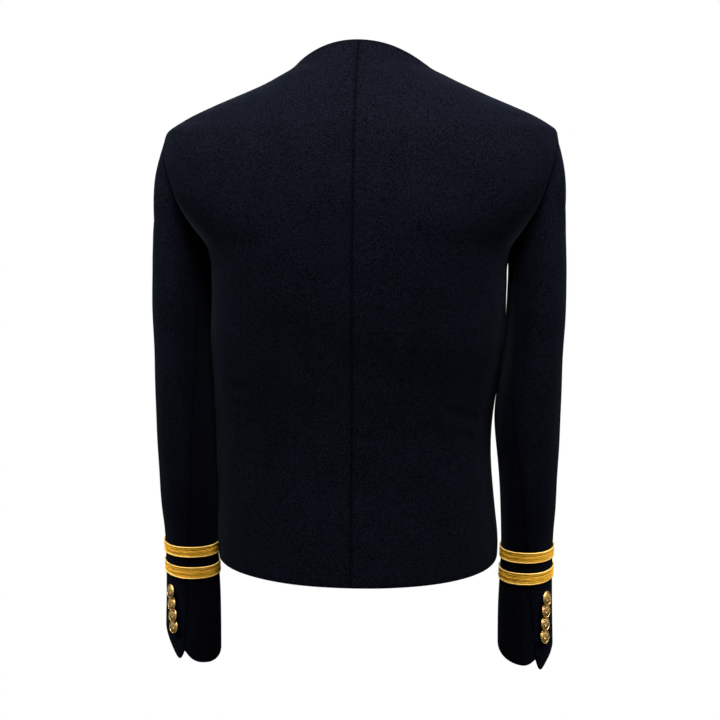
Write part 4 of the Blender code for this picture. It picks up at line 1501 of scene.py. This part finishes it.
class JACKET_OT_add_sewing(bpy.types.Operator):
    """Make the stitches that join the cloth in its seams"""

    bl_idname = "jacket.add_sewing"
    bl_label = "Sewing"

    def execute(self, context):
        cloth = context.scene.jacket_cloth
        sew("sewing_body", body_seams(), cloth)
        for side, side_name in SIDE_NAMES.items():
            sew(f"sewing_sleeve_{side_name}", sleeve_seams(side), cloth)
        return {"FINISHED"}


class JACKET_OT_add_braid(bpy.types.Operator):
    """Make the rings of gold braid on the cuffs"""

    bl_idname = "jacket.add_braid"
    bl_label = "Gold braid"

    def execute(self, context):
        for side in SIDE_NAMES:
            for number, top in enumerate(BRAID_TOPS, start=1):
                make_braid(side, number, top, context.scene.jacket_braid)
        return {"FINISHED"}


class JACKET_OT_add_buttons(bpy.types.Operator):
    """Make the gilt buttons on the cuffs"""

    bl_idname = "jacket.add_buttons"
    bl_label = "Gilt buttons"

    def execute(self, context):
        for side in SIDE_NAMES:
            for number in range(BUTTON_COUNT):
                make_button(side, number, context.scene.jacket_buttons)
        return {"FINISHED"}


# The camera, placed and turned so that it sees the jacket as the photograph shows it
CAMERA_DISTANCE = 1.5
CAMERA_AZIMUTH = 184.0
CAMERA_HEIGHT = -0.196
CAMERA_PITCH = -4.45
CAMERA_YAW = 0.012
CAMERA_ROLL = -0.40
CAMERA_LENS = 69.0
CAMERA_SENSOR = 36.0

# Lights: the place and size of each, and the point that all of them face
LightForm = namedtuple("LightForm", "place size")
LIGHTS = {
    "key": LightForm((-0.05, 0.78, 1.08), 0.7),
    "front": LightForm((0.1, 2.4, -0.5), 1.3),
    "left": LightForm((1.25, 0.50, 0.75), 0.6),
    "right": LightForm((-1.25, 0.52, 0.75), 0.6),
    "far": LightForm((0.2, -1.9, 1.0), 1.0),
}
LOOK_AT = Vector((0.0, 0.0, -0.25))

# The backdrop's colour, and the floor's size, sides and grey
WHITE = (1.0, 1.0, 1.0, 1.0)
FLOOR_RADIUS = 30.0
FLOOR_SIDES = 96
FLOOR_GREY = 0.08


def add_light(name, form, power):
    """Add a square soft light that points at the jacket."""
    light = bpy.data.lights.new(name, "AREA")
    light.shape = "SQUARE"
    light.size = form.size
    light.energy = power
    lamp = bpy.data.objects.new(name, light)
    lamp.location = form.place
    lamp.rotation_euler = (LOOK_AT - lamp.location).to_track_quat("-Z", "Y").to_euler()
    bpy.context.scene.collection.objects.link(lamp)


def add_camera():
    """Add the camera, behind the jacket and a little to the wearer's right."""
    data = bpy.data.cameras.new("camera")
    data.lens = CAMERA_LENS
    data.sensor_width = CAMERA_SENSOR
    camera = bpy.data.objects.new("camera", data)
    azimuth = math.radians(CAMERA_AZIMUTH)
    camera.location = (
        CAMERA_DISTANCE * math.sin(azimuth),
        -CAMERA_DISTANCE * math.cos(azimuth),
        CAMERA_HEIGHT,
    )
    turn = (90.0 + CAMERA_PITCH, CAMERA_ROLL, CAMERA_AZIMUTH + CAMERA_YAW)
    camera.rotation_euler = [math.radians(part) for part in turn]
    bpy.context.scene.collection.objects.link(camera)
    bpy.context.scene.camera = camera


def add_surround(strength, mirrored):
    """Light the scene evenly from all round, before a white backdrop, with more for the metal."""
    world = bpy.data.worlds.new("studio")
    world.use_nodes = True
    tree = world.node_tree
    tree.nodes.clear()
    path = place(tree, "ShaderNodeLightPath").outputs
    lit, glint, white = (
        place(tree, "ShaderNodeBackground", {"Color": WHITE, "Strength": bright}).outputs[0]
        for bright in (strength, mirrored, 1.0)
    )
    around = place(tree, "ShaderNodeMixShader", {0: path["Is Glossy Ray"], 1: lit, 2: glint}).outputs[0]
    seen = place(tree, "ShaderNodeMixShader", {0: path["Is Camera Ray"], 1: around, 2: white}).outputs[0]
    place(tree, "ShaderNodeOutputWorld", {"Surface": seen})
    bpy.context.scene.world = world


def add_floor(height):
    """Lay a plain floor, as pale to the camera as the backdrop, that throws little light back."""
    made, tree, shader = new_material(
        "pale_floor",
        Base_Color=colour4(WHITE[:3], FLOOR_GREY),
        Roughness=0.9,
        Specular_IOR_Level=0.0,
    )
    seen = place(tree, "ShaderNodeLightPath").outputs["Is Camera Ray"]
    white = place(tree, "ShaderNodeEmission", {"Color": WHITE, "Strength": 1.0})
    mixed = place(tree, "ShaderNodeMixShader", {0: seen, 1: shader.outputs[0], 2: white.outputs[0]})
    tree.links.new(mixed.outputs[0], tree.nodes["Material Output"].inputs["Surface"])
    turn = np.linspace(0.0, 2.0 * math.pi, FLOOR_SIDES, endpoint=False)
    points = np.stack([FLOOR_RADIUS * np.cos(turn), FLOOR_RADIUS * np.sin(turn), height + 0.0 * turn], -1)
    make_object("floor", points, [list(range(FLOOR_SIDES))], made)


class JACKET_OT_add_stage(bpy.types.Operator):
    """Make the floor, the soft lights and the camera"""

    bl_idname = "jacket.add_stage"
    bl_label = "Floor, light and camera"

    def execute(self, context):
        stage = context.scene.jacket_stage
        add_camera()
        add_surround(stage.surround, stage.mirrored)
        for name, form in LIGHTS.items():
            add_light(f"{name}_light", form, getattr(stage, name))
        add_floor(stage.floor_height)
        context.scene.view_settings.view_transform = "Standard"
        return {"FINISHED"}


class JACKET_PT_pieces(bpy.types.Panel):
    """Pieces of the jacket and their sizes"""

    bl_label = "Jacket"
    bl_space_type = "VIEW_3D"
    bl_region_type = "UI"
    bl_category = "Jacket"

    def draw(self, context):
        scene = context.scene
        for group, operators in PANEL_LAYOUT:
            box = self.layout.box()
            settings = getattr(scene, group)
            for key in settings.bl_rna.properties.keys():
                if key not in ("rna_type", "name"):
                    box.prop(settings, key)
            for operator in operators:
                box.operator(operator.bl_idname)


PANEL_LAYOUT = (
    ("jacket_cloth", (JACKET_OT_add_body, JACKET_OT_add_sleeves, JACKET_OT_add_sewing)),
    ("jacket_braid", (JACKET_OT_add_braid,)),
    ("jacket_buttons", (JACKET_OT_add_buttons,)),
    ("jacket_stage", (JACKET_OT_add_stage,)),
)
GROUPS = {
    "jacket_cloth": JacketCloth,
    "jacket_braid": JacketBraid,
    "jacket_buttons": JacketButtons,
    "jacket_stage": JacketStage,
}
OPERATORS = [operator for _, operators in PANEL_LAYOUT for operator in operators]


def register():
    """Register the settings, the operators and the panel."""
    for made in (*GROUPS.values(), *OPERATORS, JACKET_PT_pieces):
        bpy.utils.register_class(made)
    for name, group in GROUPS.items():
        setattr(bpy.types.Scene, name, PointerProperty(type=group))


def unregister():
    """Take the settings, the operators and the panel away again."""
    for name in GROUPS:
        delattr(bpy.types.Scene, name)
    for made in (JACKET_PT_pieces, *reversed(OPERATORS), *GROUPS.values()):
        bpy.utils.unregister_class(made)


def main():
    """Make every piece."""
    register()
    bpy.ops.jacket.add_body()
    bpy.ops.jacket.add_sleeves()
    bpy.ops.jacket.add_sewing()
    bpy.ops.jacket.add_braid()
    bpy.ops.jacket.add_buttons()
    bpy.ops.jacket.add_stage()


if __name__ == "__main__":
    main()
